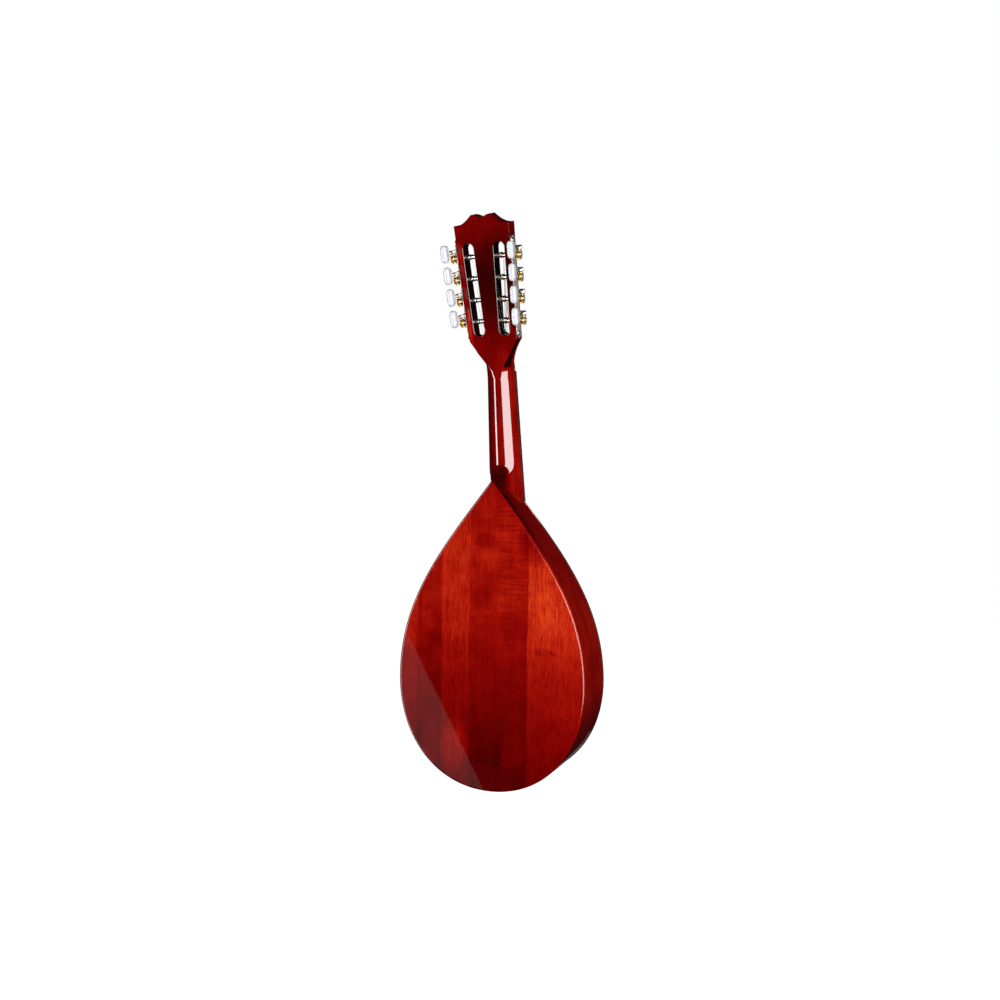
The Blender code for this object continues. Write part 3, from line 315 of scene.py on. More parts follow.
def neck_look():
    look = Look("varnished_neck")
    warp = look.noise((30, 30, 6), 2.0, 0.5)
    bent = look.node("ShaderNodeCombineXYZ", {0: look.math("ADD", look.x, look.math("MULTIPLY", look.math("SUBTRACT", warp, 0.5), 0.006)), 1: look.y, 2: look.z}).outputs[0]
    grain = look.span(look.noise((420, 160, 12), 3.0, 0.6, vector=bent), 0.28, 0.72, 0.84, 1.16)
    pore = look.span(look.noise((1100, 500, 60), 2.0, 0.6, vector=bent), 0.52, 0.68, 1.0, 0.86)
    cloud = look.span(look.noise((34, 34, 26), 2.0, 0.5, 0.6, shift=(4, 4, 4)), 0.3, 0.7, 0.86, 1.14)
    along = look.ramp(
        look.math("DIVIDE", look.z, 0.66),
        [(0.0, 0.12), (0.47, 0.14), (0.52, 0.18), (0.60, 0.172), (0.68, 0.160), (0.715, 0.148), (0.745, 0.115), (0.79, 0.047), (0.84, 0.031), (0.88, 0.060), (0.915, 0.125), (1.0, 0.150)],
    )
    s_sin, s_cos = math.sin(HEAD_TILT), math.cos(HEAD_TILT)
    s = look.math("ADD", look.math("MULTIPLY", look.math("SUBTRACT", look.y, HEAD_BACK_AT_NUT), s_sin), look.math("MULTIPLY", look.math("SUBTRACT", look.z, NUT_Z), s_cos))
    # painted shade: inside the string slots the colour is painted almost black, where the recess lies in shade
    middle, run = (SLOT_LOW + SLOT_HIGH) / 2, (SLOT_HIGH - SLOT_LOW - SLOT_WIDTH) / 2
    centre = look.math("ADD", SLOT_CENTRE_X, look.math("MULTIPLY", look.math("SUBTRACT", s, middle), math.tan(SIDE_LEAN)))
    off_x = look.math("SUBTRACT", look.math("ABSOLUTE", look.x), centre)
    off_s = look.math("MAXIMUM", look.math("SUBTRACT", look.math("ABSOLUTE", look.math("SUBTRACT", s, middle)), run), 0.0)
    off = look.math("SQRT", look.math("ADD", look.math("MULTIPLY", off_x, off_x), look.math("MULTIPLY", off_s, off_s)))
    slot_shade = look.span(off, SLOT_WIDTH / 2 + 0.0001, SLOT_WIDTH / 2 + 0.0006, 0.07, 1.0)
    # the head's colour is lighter outside the treble slot than in the middle, and a little lighter outside the bass
    # slot
    wing = look.math("MAXIMUM", look.span(look.x, 0.0200, 0.0255, 1.0, 4.0), look.span(look.x, -0.0240, -0.0200, 1.15, 1.0))
    head_only = look.math("MULTIPLY", look.span(s, 0.024, 0.055), look.span(s, 0.122, 0.145, 1.0, 0.0))
    wings = look.math("ADD", 1.0, look.math("MULTIPLY", look.math("SUBTRACT", wing, 1.0), head_only))
    # painted shade: the heel's cove under the neck, by the top of the back, is painted dark
    heel_shade = look.math("MULTIPLY", spot(look, -0.0045, 0.3330, 0.0060, 0.0150, 0.16), spot(look, -0.0010, 0.3440, 0.0090, 0.0080, 0.45))
    # the scooped flank between neck and head falls into shadow below its back edge
    h = look.math("SUBTRACT", look.math("MULTIPLY", look.math("SUBTRACT", look.y, HEAD_BACK_AT_NUT), s_cos), look.math("MULTIPLY", look.math("SUBTRACT", look.z, NUT_Z), s_sin))
    flank = look.math("MULTIPLY", look.span(facing_x(look), -0.62, -0.30, 1.0, 0.0), look.span(h, -0.0105, -0.0080))
    flank = times(look, flank, look.span(s, 0.001, 0.005), look.span(s, 0.029, 0.034, 1.0, 0.0))
    scoop = look.math("SUBTRACT", 1.0, look.math("MULTIPLY", flank, 0.94))
    # painted light and shade: below the head the neck's bass side is painted lighter and its treble side darker
    painted_side_light = look.span(look.x, -0.016, 0.012, 1.45, 0.72, smooth=False)
    painted_side_light = look.math("ADD", 1.0, look.math("MULTIPLY", look.math("SUBTRACT", painted_side_light, 1.0), look.span(look.z, 0.455, 0.485, 1.0, 0.0)))
    edge_dull = look.math("MULTIPLY", look.span(look.x, 0.0235, 0.0260), look.span(s, 0.030, 0.040))
    varnish(look, times(look, along, grain, pore, cloud, wings, painted_side_light, slot_shade, heel_shade, scoop), gloss=0.03, ior=1.85, coat=look.math("SUBTRACT", 1.0, look.math("MAXIMUM", look.math("MULTIPLY", edge_dull, 0.93), flank)))
    return look.material


def top_look():
    look = Look("spruce_soundboard")
    warp = look.noise((14, 14, 3), 2.0, 0.5)
    bent_x = look.math("ADD", look.x, look.math("MULTIPLY", look.math("SUBTRACT", warp, 0.5), 0.006))
    lines = look.math("SINE", look.math("MULTIPLY", bent_x, 4300.0))
    ring = look.span(lines, 0.2, 1.0)
    fibre = look.noise((700, 700, 24), 3.0, 0.6)
    silk = look.span(look.noise((60, 60, 300), 2.0, 0.5, 0.5), 0.4, 0.7)
    base = look.mix(ring, (0.60, 0.335, 0.120), (0.44, 0.215, 0.066))
    base = look.mix(look.math("MULTIPLY", fibre, 0.35), base, (0.36, 0.17, 0.055))
    base = look.mix(look.math("MULTIPLY", silk, 0.12), base, (0.74, 0.48, 0.22))
    far = look.math("SQRT", look.math("ADD", look.math("POWER", look.math("DIVIDE", look.x, 0.110), 2.0), look.math("POWER", look.math("DIVIDE", look.math("SUBTRACT", look.z, 0.125), 0.155), 2.0)))
    base = look.mix(look.span(far, 0.70, 1.08, 0.0, 0.55), base, (0.26, 0.075, 0.020))
    look.set(Base_Color=base, Roughness=0.42, Coat_Weight=0.7, Coat_Roughness=0.08)
    look.bump(look.math("ADD", ring, look.math("MULTIPLY", fibre, 0.6)), 0.10, 0.0001)
    return look.material


def inner_look():
    look = Look("bare_inner_wood")
    grain = look.noise((300, 300, 20), 3.0, 0.6)
    base = look.mix(look.span(grain, 0.3, 0.7), (0.58, 0.41, 0.23), (0.45, 0.29, 0.14))
    look.set(Base_Color=base, Roughness=0.75)
    look.bump(grain, 0.25, 0.0002)
    return look.material


def dark_wood_look():
    look = Look("dark_fretboard_wood")
    grain = look.noise((900, 900, 40), 3.0, 0.65)
    pore = look.span(look.noise((1600, 1600, 90), 2.0, 0.6, shift=(2, 2, 2)), 0.55, 0.7)
    base = look.mix(look.span(grain, 0.3, 0.7), (0.030, 0.013, 0.009), (0.062, 0.027, 0.016))
    base = look.mix(look.math("MULTIPLY", pore, 0.6), base, (0.010, 0.005, 0.004))
    look.set(Base_Color=base, Roughness=look.span(grain, 0.3, 0.7, 0.42, 0.58), Specular_IOR_Level=0.25)
    look.bump(look.math("ADD", grain, pore), 0.2, 0.00012)
    return look.material


def binding_look(name, colour, other, pale=None):
    look = Look(name)
    streak = look.noise((120, 400, 120), 2.0, 0.5)
    base = look.mix(look.span(streak, 0.3, 0.7), colour, other)
    if pale:  # paler towards the neck
        base = look.mix(look.span(look.z, 0.282, 0.298), base, pale)
    look.set(Base_Color=base, Roughness=0.25, Coat_Weight=0.6, Coat_Roughness=0.05)
    look.bump(streak, 0.05, 0.0001)
    return look.material


def bone_look():
    look = Look("bone_nut")
    grain = look.noise((500, 260, 260), 3.0, 0.6)
    look.set(Base_Color=look.mix(look.span(grain, 0.3, 0.7), (0.83, 0.76, 0.60), (0.72, 0.62, 0.43)), Roughness=0.35, Subsurface_Weight=0.15, Subsurface_Scale=0.002)
    look.bump(grain, 0.1, 0.0001)
    return look.material


def pearl_look():
    look = Look("pearl_plastic")
    shift = look.node("ShaderNodeObjectInfo").outputs["Random"]
    moved = look.node("ShaderNodeCombineXYZ", {0: look.math("ADD", look.x, shift), 1: look.y, 2: look.z}).outputs[0]
    swirl = look.noise((260, 150, 110), 3.0, 0.6, 2.6, vector=moved)
    fold = look.math("ABSOLUTE", look.math("SINE", look.math("MULTIPLY", swirl, 16.0)))
    tint = look.noise((120, 90, 80), 2.0, 0.5, 1.0, shift=(5, 1, 2), vector=moved)
    base = look.ramp(look.span(fold, 0.0, 1.0, smooth=False), [(0.0, (0.405, 0.42, 0.48)), (0.35, (0.49, 0.495, 0.54)), (1.0, (0.56, 0.56, 0.605))])
    base = look.mix(look.span(tint, 0.42, 0.62, 0.0, 0.35), base, (0.475, 0.56, 0.55))
    base = look.mix(look.span(tint, 0.55, 0.42, 0.0, 0.25), base, (0.56, 0.50, 0.585))
    look.set(Base_Color=base, Roughness=0.22, Coat_Weight=0.8, Coat_Roughness=0.04, Subsurface_Weight=0.25, Subsurface_Scale=0.002)
    look.bump(fold, 0.03, 0.0002)
    return look.material


def metal_look(name, colour, other, rough=(0.16, 0.34), metallic=1.0):
    look = Look(name)
    cloud = look.noise((420, 420, 420), 3.0, 0.6)
    scratch = look.noise((2600, 260, 2600), 2.0, 0.5, shift=(1, 1, 1))
    base = look.mix(look.span(cloud, 0.35, 0.68), colour, other)
    look.set(Base_Color=base, Metallic=metallic, Roughness=look.span(cloud, 0.3, 0.7, *rough))
    look.bump(look.math("ADD", look.math("MULTIPLY", cloud, 0.5), look.math("MULTIPLY", scratch, 0.5)), 0.06, 0.0001)
    return look.material


BACK, SIDE, NECK, TOP, INNER = back_look(), side_look(), neck_look(), top_look(), inner_look()
DARK, BONE, PEARL = dark_wood_look(), bone_look(), pearl_look()
BIND = binding_look("black_binding", (0.012, 0.008, 0.008), (0.022, 0.012, 0.010), (0.80, 0.66, 0.55))
CREAM = binding_look("cream_purfling", (0.74, 0.62, 0.42), (0.62, 0.50, 0.32))
NICKEL = metal_look("nickel_plate", (0.72, 0.69, 0.64), (0.50, 0.47, 0.43))
BRASS = metal_look("brass", (0.78, 0.52, 0.22), (0.56, 0.34, 0.12), (0.20, 0.38))
STEEL = metal_look("string_steel", (0.62, 0.62, 0.63), (0.45, 0.45, 0.46), (0.18, 0.30))
WOUND = metal_look("wound_string", (0.58, 0.46, 0.34), (0.42, 0.33, 0.24), (0.22, 0.38))
FRETWIRE = metal_look("fret_wire", (0.70, 0.69, 0.66), (0.56, 0.55, 0.52), (0.14, 0.28))


# ---------------------------------------------------------------- mesh tools
def face_out(work):
    bmesh.ops.recalc_face_normals(work, faces=work.faces)
    if work.calc_volume(signed=True) < 0:
        bmesh.ops.reverse_faces(work, faces=work.faces)


def to_mesh(work, name, out=True):
    bmesh.ops.remove_doubles(work, verts=work.verts, dist=2e-7)
    loose = [f for f in work.faces if f.calc_area() < 1e-14]
    if loose:
        bmesh.ops.dissolve_degenerate(work, dist=1e-7, edges=work.edges)
    if out:
        face_out(work)
    mesh = bpy.data.meshes.new(name)
    work.to_mesh(mesh)
    work.free()
    return mesh


def loft(rings, name="loft", closed=True, caps=True, loop=False):
    """Faces between rings of points. closed joins each ring's ends; loop joins the last ring to the first."""
    work = bmesh.new()
    rows = [[work.verts.new(p) for p in ring] for ring in rings]
    pairs = list(zip(rows, rows[1:])) + ([(rows[-1], rows[0])] if loop else [])
    for low, high in pairs:
        count = len(low)
        for k in range(count if closed else count - 1):
            j = (k + 1) % count
            work.faces.new((low[k], low[j], high[j], high[k]))
    if caps and not loop:
        work.faces.new(list(reversed(rows[0])))
        work.faces.new(rows[-1])
    return to_mesh(work, name)


def join_meshes(meshes, name):
    """Several closed meshes as one mesh, each with its matrix."""
    work = bmesh.new()
    for item in meshes:
        mesh, matrix = item if isinstance(item, tuple) else (item, None)
        start = len(work.verts)
        work.from_mesh(mesh)
        if matrix is not None:
            work.verts.ensure_lookup_table()
            fresh = work.verts[start:]
            bmesh.ops.transform(work, matrix=matrix, verts=fresh)
            if matrix.determinant() < 0:
                ids = set(fresh)
                bmesh.ops.reverse_faces(work, faces=[f for f in work.faces if f.verts[0] in ids])
    made = bpy.data.meshes.new(name)
    work.to_mesh(made)
    work.free()
    return made


def smooth(mesh, angle=35):
    mesh.shade_smooth()
    mesh.set_sharp_from_angle(angle=math.radians(angle))
    return mesh


def piece(name, mesh, look, body="instrument", nodes=(), matrix=None, angle=35, flat_first=False):
    """A finished piece: its look, the body that it rides on, and the CAD nodes that it stands for."""
    if angle:
        smooth(mesh, angle)
    mesh.materials.clear()
    mesh.materials.append(look)
    made = bpy.data.objects.new(name, mesh)
    scene_collection.objects.link(made)
    made.matrix_world = ROW if matrix is None else matrix
    if flat_first:  # large flat faces keep their own normals
        step = made.modifiers.new("flat_first", "WEIGHTED_NORMAL")
        step.mode, step.weight, step.keep_sharp = "FACE_AREA", 100, True
    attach(made, body)
    if nodes:
        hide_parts(*nodes)
    return made


def helper(mesh, matrix=None):
    made = bpy.data.objects.new("helper", mesh)
    scene_collection.objects.link(made)
    if matrix is not None:
        made.matrix_world = matrix
    return made


def cleaned(obj):
    """The evaluated mesh of a helper object, welded and facing out; the helper is removed."""
    bpy.context.view_layer.update()
    graph = bpy.context.evaluated_depsgraph_get()
    result = bpy.data.meshes.new_from_object(obj.evaluated_get(graph))
    bpy.data.objects.remove(obj, do_unlink=True)
    work = bmesh.new()
    work.from_mesh(result)
    bmesh.ops.remove_doubles(work, verts=work.verts, dist=1e-6)
    bmesh.ops.dissolve_degenerate(work, dist=1e-6, edges=work.edges)
    face_out(work)
    work.to_mesh(result)
    work.free()
    return result


def carved(mesh, tools, bevel=None, name="carved"):
    """The mesh after Booleans with the tools, each (mesh, matrix, operation), and a small bevel on its sharp edges."""
    result = mesh
    for tool, matrix, operation in tools:
        base, other = helper(result), helper(tool, matrix)
        step = base.modifiers.new("cut", "BOOLEAN")
        step.operation = operation
        step.solver = "EXACT"
        step.object = other
        result = cleaned(base)
        bpy.data.objects.remove(other, do_unlink=True)
    if bevel:
        base = helper(result)
        step = base.modifiers.new("soft", "BEVEL")
        step.width, step.segments, step.limit_method, step.angle_limit = bevel[0], bevel[1], "ANGLE", math.radians(bevel[2])
        step.use_clamp_overlap = True
        result = cleaned(base)
    result.name = name
    return result


def extruded(loop, low, high, axis="Y", name="extruded", chamfer=0.0):
    """A flat outline drawn out along an axis; the outline is (x, z) for Y, (z, y) for X."""
    place = {"Y": lambda p, t: (p[0], t, p[1]), "X": lambda p, t: (t, p[1], p[0])}[axis]
    return loft([[place(p, low) for p in loop], [place(p, high) for p in loop]], name)


def tube(points, radius, sides=12, name="tube", caps=True):
    """A round tube along points, with a steady frame so that it doesn't twist."""
    points = [Vector(p) for p in points]
    rings = []
    normal = None
    for k, p in enumerate(points):
        run = (points[min(k + 1, len(points) - 1)] - points[max(k - 1, 0)]).normalized()
        if normal is None:
            normal = run.orthogonal().normalized()
        normal = (normal - run * normal.dot(run)).normalized()
        other = run.cross(normal)
        r = radius(k) if callable(radius) else radius
        rings.append([p + (normal * math.cos(2 * math.pi * i / sides) + other * math.sin(2 * math.pi * i / sides)) * r for i in range(sides)])
    return loft(rings, name, caps=caps)


def turned(profile, sides=32, axis="X", name="turned"):
    """A turned solid from (radius, distance along the axis) pairs."""
    rings = []
    for r, t in profile:
        ring = []
        for k in range(sides):
            a = 2 * math.pi * k / sides
            c, s = max(r, 1e-6) * math.cos(a), max(r, 1e-6) * math.sin(a)
            ring.append({"X": (t, c, s), "Y": (s, t, c), "Z": (c, s, t)}[axis])
        rings.append(ring)
    return loft(rings, name)


# ---------------------------------------------------------------- the body's outline
def bezier(p0, p1, p2, p3, t):
    a, b, c, d = (1 - t) ** 3, 3 * (1 - t) ** 2 * t, 3 * (1 - t) * t * t, t**3
    point = (a * p0[0] + b * p1[0] + c * p2[0] + d * p3[0], a * p0[1] + b * p1[1] + c * p2[1] + d * p3[1])
    e, f, g = 3 * (1 - t) ** 2, 6 * (1 - t) * t, 3 * t * t
    run = (e * (p1[0] - p0[0]) + f * (p2[0] - p1[0]) + g * (p3[0] - p2[0]), e * (p1[1] - p0[1]) + f * (p2[1] - p1[1]) + g * (p3[1] - p2[1]))
    return point, run


def half_outline(inset=0.0, steps=56, start_x=0.0):
    """The treble half from the apex to the tail, always with the same number of points; what an inset pushes past start_x is gathered there."""
    w, zw, length = BODY_HALF_WIDTH, WIDEST_Z, BODY_LENGTH
    upper = ((0, length), (APEX_HANDLE[0], length - APEX_HANDLE[1]), (w, zw + UPPER_HANDLE), (w, zw))
    lower = ((w, zw), (w, zw - LOWER_HANDLE), (TAIL_HANDLE, 0), (0, 0))
    raw = []
    for k in range(2 * steps + 1):
        part, t = (upper, k / steps) if k <= steps else (lower, k / steps - 1)
        (x, z), (dx, dz) = bezier(*part, t)
        size = math.hypot(dx, dz)
        raw.append((x + inset * dz / size, z - inset * dx / size))
    for k in range(len(raw) // 2):
        a, b = raw[k], raw[k + 1]
        if a[0] < start_x <= b[0]:
            t = (start_x - a[0]) / (b[0] - a[0])
            meet = (start_x, a[1] + t * (b[1] - a[1]))
            raw = [meet] * (k + 1) + raw[k + 1 :]
            break
    if raw[0][0] > start_x:  # an outset leaves a gap at the apex: run on to the middle
        (x0, z0), (x1, z1) = raw[0], raw[1]
        raw[0] = (start_x, z0 + (z0 - z1) * (x0 - start_x) / (x1 - x0))
    raw[-1] = (max(start_x, raw[-1][0]), raw[-1][1])
    return [(max(x, start_x), z) for x, z in raw]


def whole(half):
    return half + [(-x, z) for x, z in reversed(half[1:-1])]


def back_y(z):
    return DEPTH_AT_TAIL - (DEPTH_AT_TAIL - DEPTH_AT_APEX) / BODY_LENGTH * z


def smoothstep(t):
    t = min(1.0, max(0.0, t))
    return t * t * (3 - 2 * t)


# back: a flat board with a rounded edge
rounding = 0.0021
steps = [(0.0, PLATE), (0.0, rounding)]
steps += [(rounding * (1 - math.cos(a)), rounding * (1 - math.sin(a))) for a in (math.radians(d) for d in (11, 22, 34, 45, 56, 68, 79, 90))]
steps += [(rounding + 0.0007, 0.0)]
rings = [[(x, back_y(z) - gap, z) for x, z in whole(half_outline(inset))] for inset, gap in steps]
piece("back_board", loft(rings, "back_board"), BACK, nodes=("back_plate",), angle=40)

# the two bent sides, from the front binding to the back board
for side, flip in SIDES:
    outer, inner = half_outline(0.0, start_x=0.00005), half_outline(RIM, start_x=0.00005)
    sections = []
    for (x0, z0), (x1, z1) in zip(outer, inner):
        sections.append([(flip * x0, PLATE + 0.0005, z0), (flip * x0, back_y(z0) - PLATE, z0), (flip * x1, back_y(z1) - PLATE, z1), (flip * x1, PLATE + 0.0005, z1)])
    piece("side_" + side, loft(sections, "side_" + side), SIDE, nodes=("rim_" + side,), angle=40)

# soundboard with its hole, a black binding round its edge and a cream line inside that
BIND_IN, LINE_IN = 0.0016, 0.0024


def top_half(inset):
    half = half_outline(inset)
    cut_z = JOINT_Z - 0.0008
    kept = []
    for k in range(len(half)):
        x, z = half[k]
        if z <= cut_z:
            if not kept and k and half[k - 1][1] > cut_z:
                (x0, z0) = half[k - 1]
                t = (cut_z - z0) / (z - z0)
                kept.append((x0 + t * (x - x0), cut_z))
            kept.append((x, z))
    return kept


def ring_piece(name, inset_out, inset_in, y_front, y_back, look, round_front=0.0):
    loops = []
    start = half_outline(inset_out)
    inner = half_outline(inset_in)
    keep = [k for k, (x, z) in enumerate(start) if z <= JOINT_Z - 0.0008]
    halves = []
    for flip in (1, -1):
        rows = []
        for k in keep:
            (x0, z0), (x1, z1) = start[k], inner[k]
            row = []
            if round_front:
                for a in (0, 30, 60, 90):
                    c, s = round_front * (1 - math.cos(math.radians(a))), round_front * (1 - math.sin(math.radians(a)))
                    # from the outer wall round to the face
                    t = c / max(1e-9, inset_in - inset_out)
                    row.append((flip * (x0 + (x1 - x0) * t), y_front + s, z0 + (z1 - z0) * t))
            else:
                row.append((flip * x0, y_front, z0))
            row += [(flip * x1, y_front, z1), (flip * x1, y_back, z1), (flip * x0, y_back, z0)]
            rows.append(row)
        halves.append(rows)
    rows = halves[0] + halves[1][::-1][1:]
    return piece(name, loft(rows, name), look, nodes=("soundboard",), angle=40)


ring_piece("top_binding", -0.0001, BIND_IN, -0.0001, PLATE + 0.0005, BIND, 0.0006)
ring_piece("top_purfling", BIND_IN, LINE_IN, -0.00005, PLATE, CREAM)
edge = top_half(LINE_IN)
loop = edge + [(-x, z) for x, z in reversed(edge) if x > 1e-7]
sides = 96
hole = [(SOUND_HOLE_RADIUS * math.cos(2 * math.pi * k / sides), SOUND_HOLE_Z + SOUND_HOLE_RADIUS * math.sin(2 * math.pi * k / sides)) for k in range(sides)]
top_mesh = carved(extruded(loop, 0.0, PLATE), [(extruded(hole, -0.01, 0.02), None, "DIFFERENCE")], name="top_plate")
piece("top_plate", top_mesh, TOP, nodes=("soundboard",), angle=35)


def washer(radius_in, radius_out, y_front, y_back, name, sides=128, centre=(0.0, SOUND_HOLE_Z)):
    rows = []
    for k in range(sides):
        a = 2 * math.pi * k / sides
        row = []
        for r, y in ((radius_in, y_front), (radius_out, y_front), (radius_out, y_back), (radius_in, y_back)):
            row.append((centre[0] + r * math.cos(a), y, centre[1] + r * math.sin(a)))
        rows.append(row)
    return loft(rows, name, loop=True)


for number, (r0, r1, look, slot) in enumerate(((0.0312, 0.0322, BIND, "dark_wood"), (0.0322, 0.0330, CREAM, "bone"), (0.0330, 0.0382, DARK, "dark_wood"), (0.0382, 0.0390, CREAM, "bone"), (0.0390, 0.0400, BIND, "dark_wood"))):
    piece("rosette_%d" % number, washer(r0, r1, -0.00008 - 0.00001 * number, 0.0006, "rosette_%d" % number), look, nodes=("soundboard",), angle=40)
# small pearl diamonds let into the dark ring of the rosette
diamonds = []
for k in range(24):
    a = 2 * math.pi * k / 24
    out = Vector((math.cos(a), 0, math.sin(a)))
    turn = Vector((-math.sin(a), 0, math.cos(a)))
    centre = Vector((0, 0, SOUND_HOLE_Z)) + out * 0.0356
    corners = [centre + out * 0.0017, centre + turn * 0.0012, centre - out * 0.0017, centre - turn * 0.0012]
    diamonds.append(loft([[tuple(c + Vector((0, -0.00016, 0))) for c in corners], [tuple(c + Vector((0, 0.0004, 0))) for c in corners]], "diamond"))
piece("rosette_diamonds", join_meshes(diamonds, "rosette_diamonds"), PEARL, nodes=("soundboard",), angle=None)

# ---------------------------------------------------------------- neck and head
BOARD_SLOPE = (BOARD_AT_NUT - BOARD_AT_JOINT) / (NUT_Z - JOINT_Z)


def board_face(z):
    return BOARD_AT_JOINT + BOARD_SLOPE * (z - JOINT_Z)


def board_half_width(z):
    return HALF_WIDTH_AT_JOINT + (HALF_WIDTH_AT_NUT - HALF_WIDTH_AT_JOINT) * (z - JOINT_Z) / (NUT_Z - JOINT_Z)


FLAT_STEPS, ROUND_STEPS = 4, 18


def section(front, back, half_front, half_back, power):
    front, back = Vector(front), Vector(back)
    half = [(half_back * k / FLAT_STEPS, 1.0) for k in range(FLAT_STEPS + 1)]
    for k in range(1, ROUND_STEPS + 1):
        a = math.pi / 2 * k / ROUND_STEPS
        half.append((half_back + (half_front - half_back) * math.sin(a) ** (2 / power), math.cos(a) ** (2 / power) if k < ROUND_STEPS else 0.0))
    ring = [(-x, d) for x, d in reversed(half[1:])] + half
    return [front + Vector((x, 0, 0)) + (back - front) * d for x, d in ring]


def between(table, z):
    """A smooth reading of a table of (z, values...)."""
    for k in range(len(table) - 1):
        if table[k][0] <= z <= table[k + 1][0]:
            t = (z - table[k][0]) / (table[k + 1][0] - table[k][0])
            p0, p1, p2, p3 = table[max(k - 1, 0)], table[k], table[k + 1], table[min(k + 2, len(table) - 1)]
            out = []
            for i in range(1, len(p1)):
                m1 = (p2[i] - p0[i]) / (p2[0] - p0[0]) if p2[0] > p0[0] else 0.0
                m2 = (p3[i] - p1[i]) / (p3[0] - p1[0]) if p3[0] > p1[0] else 0.0
                h = p2[0] - p1[0]
                out.append((2 * t**3 - 3 * t * t + 1) * p1[i] + (t**3 - 2 * t * t + t) * h * m1 + (-2 * t**3 + 3 * t * t) * p2[i] + (t**3 - t * t) * h * m2)
            return out
    return list(table[-1][1:])


HEEL = ((JOINT_Z, 1.0, 1.05), (0.3300, 1.0, 1.05), (0.3366, 1.0, 1.08), (0.3384, 0.66, 1.22), (0.3408, 0.40, 1.45), (0.3440, 0.20, 1.75), (0.3480, 0.07, 2.0), (0.3530, 0.0, 2.15), (0.3600, 0.0, 2.15))
rings = []
levels = [JOINT_Z, 0.3200, 0.3280, 0.3340] + [0.3366 + (0.3560 - 0.3366) * k / 26 for k in range(27)]
for z in levels:
    share, power = between(HEEL, z)
    share = min(1.0, max(0.0, share))
    front = board_face(z) + BOARD_THICKNESS + 0.00005
    depth = NECK_DEPTH_AT_JOINT + (NECK_DEPTH_AT_NUT - NECK_DEPTH_AT_JOINT) * max(0.0, z - 0.3530) / (NUT_Z - 0.3530)
    full = back_y(BODY_LENGTH) - 0.0012 - front
    rings.append(section((0, front, z), (0, front + depth + (full - depth) * share, z), board_half_width(z) - 0.0001, 0.0, power))
for k in range(1, 25):
    z = 0.3560 + (0.4450 - 0.3560) * k / 24
    front = board_face(z) + BOARD_THICKNESS + 0.00005
    depth = NECK_DEPTH_AT_JOINT + (NECK_DEPTH_AT_NUT - NECK_DEPTH_AT_JOINT) * (z - 0.3530) / (NUT_Z - 0.3530)
    rings.append(section((0, front, z), (0, front + depth, z), board_half_width(z) - 0.0001, 0.0, 2.15))


def head_half_width(s):
    if s >= TAPER_START:
        return HEAD_HALF_WIDTH_LOW + (HEAD_HALF_WIDTH_TOP - HEAD_HALF_WIDTH_LOW) * (s - TAPER_START) / (HEAD_TOP - TAPER_START)
    t = max(0.0, (s - 0.002) / (TAPER_START - 0.002))
    return HALF_WIDTH_AT_NUT + (HEAD_HALF_WIDTH_LOW - HALF_WIDTH_AT_NUT) * t**1.9


def head_back_half(s):
    t = min(1.0, max(0.0, (s + 0.004) / (TAPER_START + 0.004)))
    return (HEAD_HALF_WIDTH_LOW if s <= TAPER_START else head_half_width(s)) * (t**0.85 if t < 1 else 1.0)


head_levels = [-0.0038 + 0.0012 * k for k in range(31)] + [0.0340, 0.0400, 0.0650, 0.0900, 0.1250, 0.172]
head_levels = sorted(s for s in head_levels if s < 0.0322 or s > 0.0333) + []
head_levels = sorted(head_levels + [TAPER_START])
for s in head_levels:
    if s < -0.002:
        continue
    front = HEAD_LOCAL @ Vector((0, -HEAD_THICKNESS, s))
    back = HEAD_LOCAL @ Vector((0, 0, s))
    wide = head_half_width(s)
    flat = min(wide - 0.0004, max(0.0, head_back_half(s)))
    power = 2.15 - 0.9 * smoothstep((s + 0.002) / 0.012) + 1.75 * smoothstep((s - 0.024) / 0.008)
    rings.append(section(front, back, wide, flat, power))

tools = []
notch_edge = [(x, z) for x, z in half_outline(-0.00005) if z > 0.25]
notch = [(0.0, BODY_LENGTH + 0.00008)] + [p for p in notch_edge if p[0] > 0.0004]
notch = notch + [(-x, z) for x, z in reversed(notch[1:])]
tools.append((extruded(notch, PLATE + 0.0002, 0.060), None, "DIFFERENCE"))

crown = []
for k in range(-60, 61):
    x = HEAD_HALF_WIDTH_TOP * 1.06 * k / 60
    a = abs(x)
    if a <= CROWN_PEAK_X:
        s = CROWN_VALLEY + (CROWN_PEAK - CROWN_VALLEY) * (0.5 - 0.5 * math.cos(math.pi * a / CROWN_PEAK_X))
    else:
        t = (a - CROWN_PEAK_X) / (HEAD_HALF_WIDTH_TOP - CROWN_PEAK_X)
        s = HEAD_TOP + (CROWN_PEAK - HEAD_TOP) * max(0.0, 1 - t) ** 1.8 - 0.0010 * math.sin(math.pi * min(1, t))
    crown.append((x, s))
crown += [(HEAD_HALF_WIDTH_TOP * 1.3, 0.190), (-HEAD_HALF_WIDTH_TOP * 1.3, 0.190)]
tools.append((extruded(crown, -HEAD_THICKNESS - 0.01, 0.01), HEAD_LOCAL, "DIFFERENCE"))

slot_radius = SLOT_WIDTH / 2
middle_s = (SLOT_LOW + SLOT_HIGH) / 2
slot_run = (SLOT_HIGH - SLOT_LOW) / 2 - slot_radius


def slot_loop(grow):
    r = slot_radius + grow
    loop = [(r * math.cos(math.pi * k / 20), slot_run + r * math.sin(math.pi * k / 20)) for k in range(21)]
    return loop + [(-x, -z) for x, z in loop]


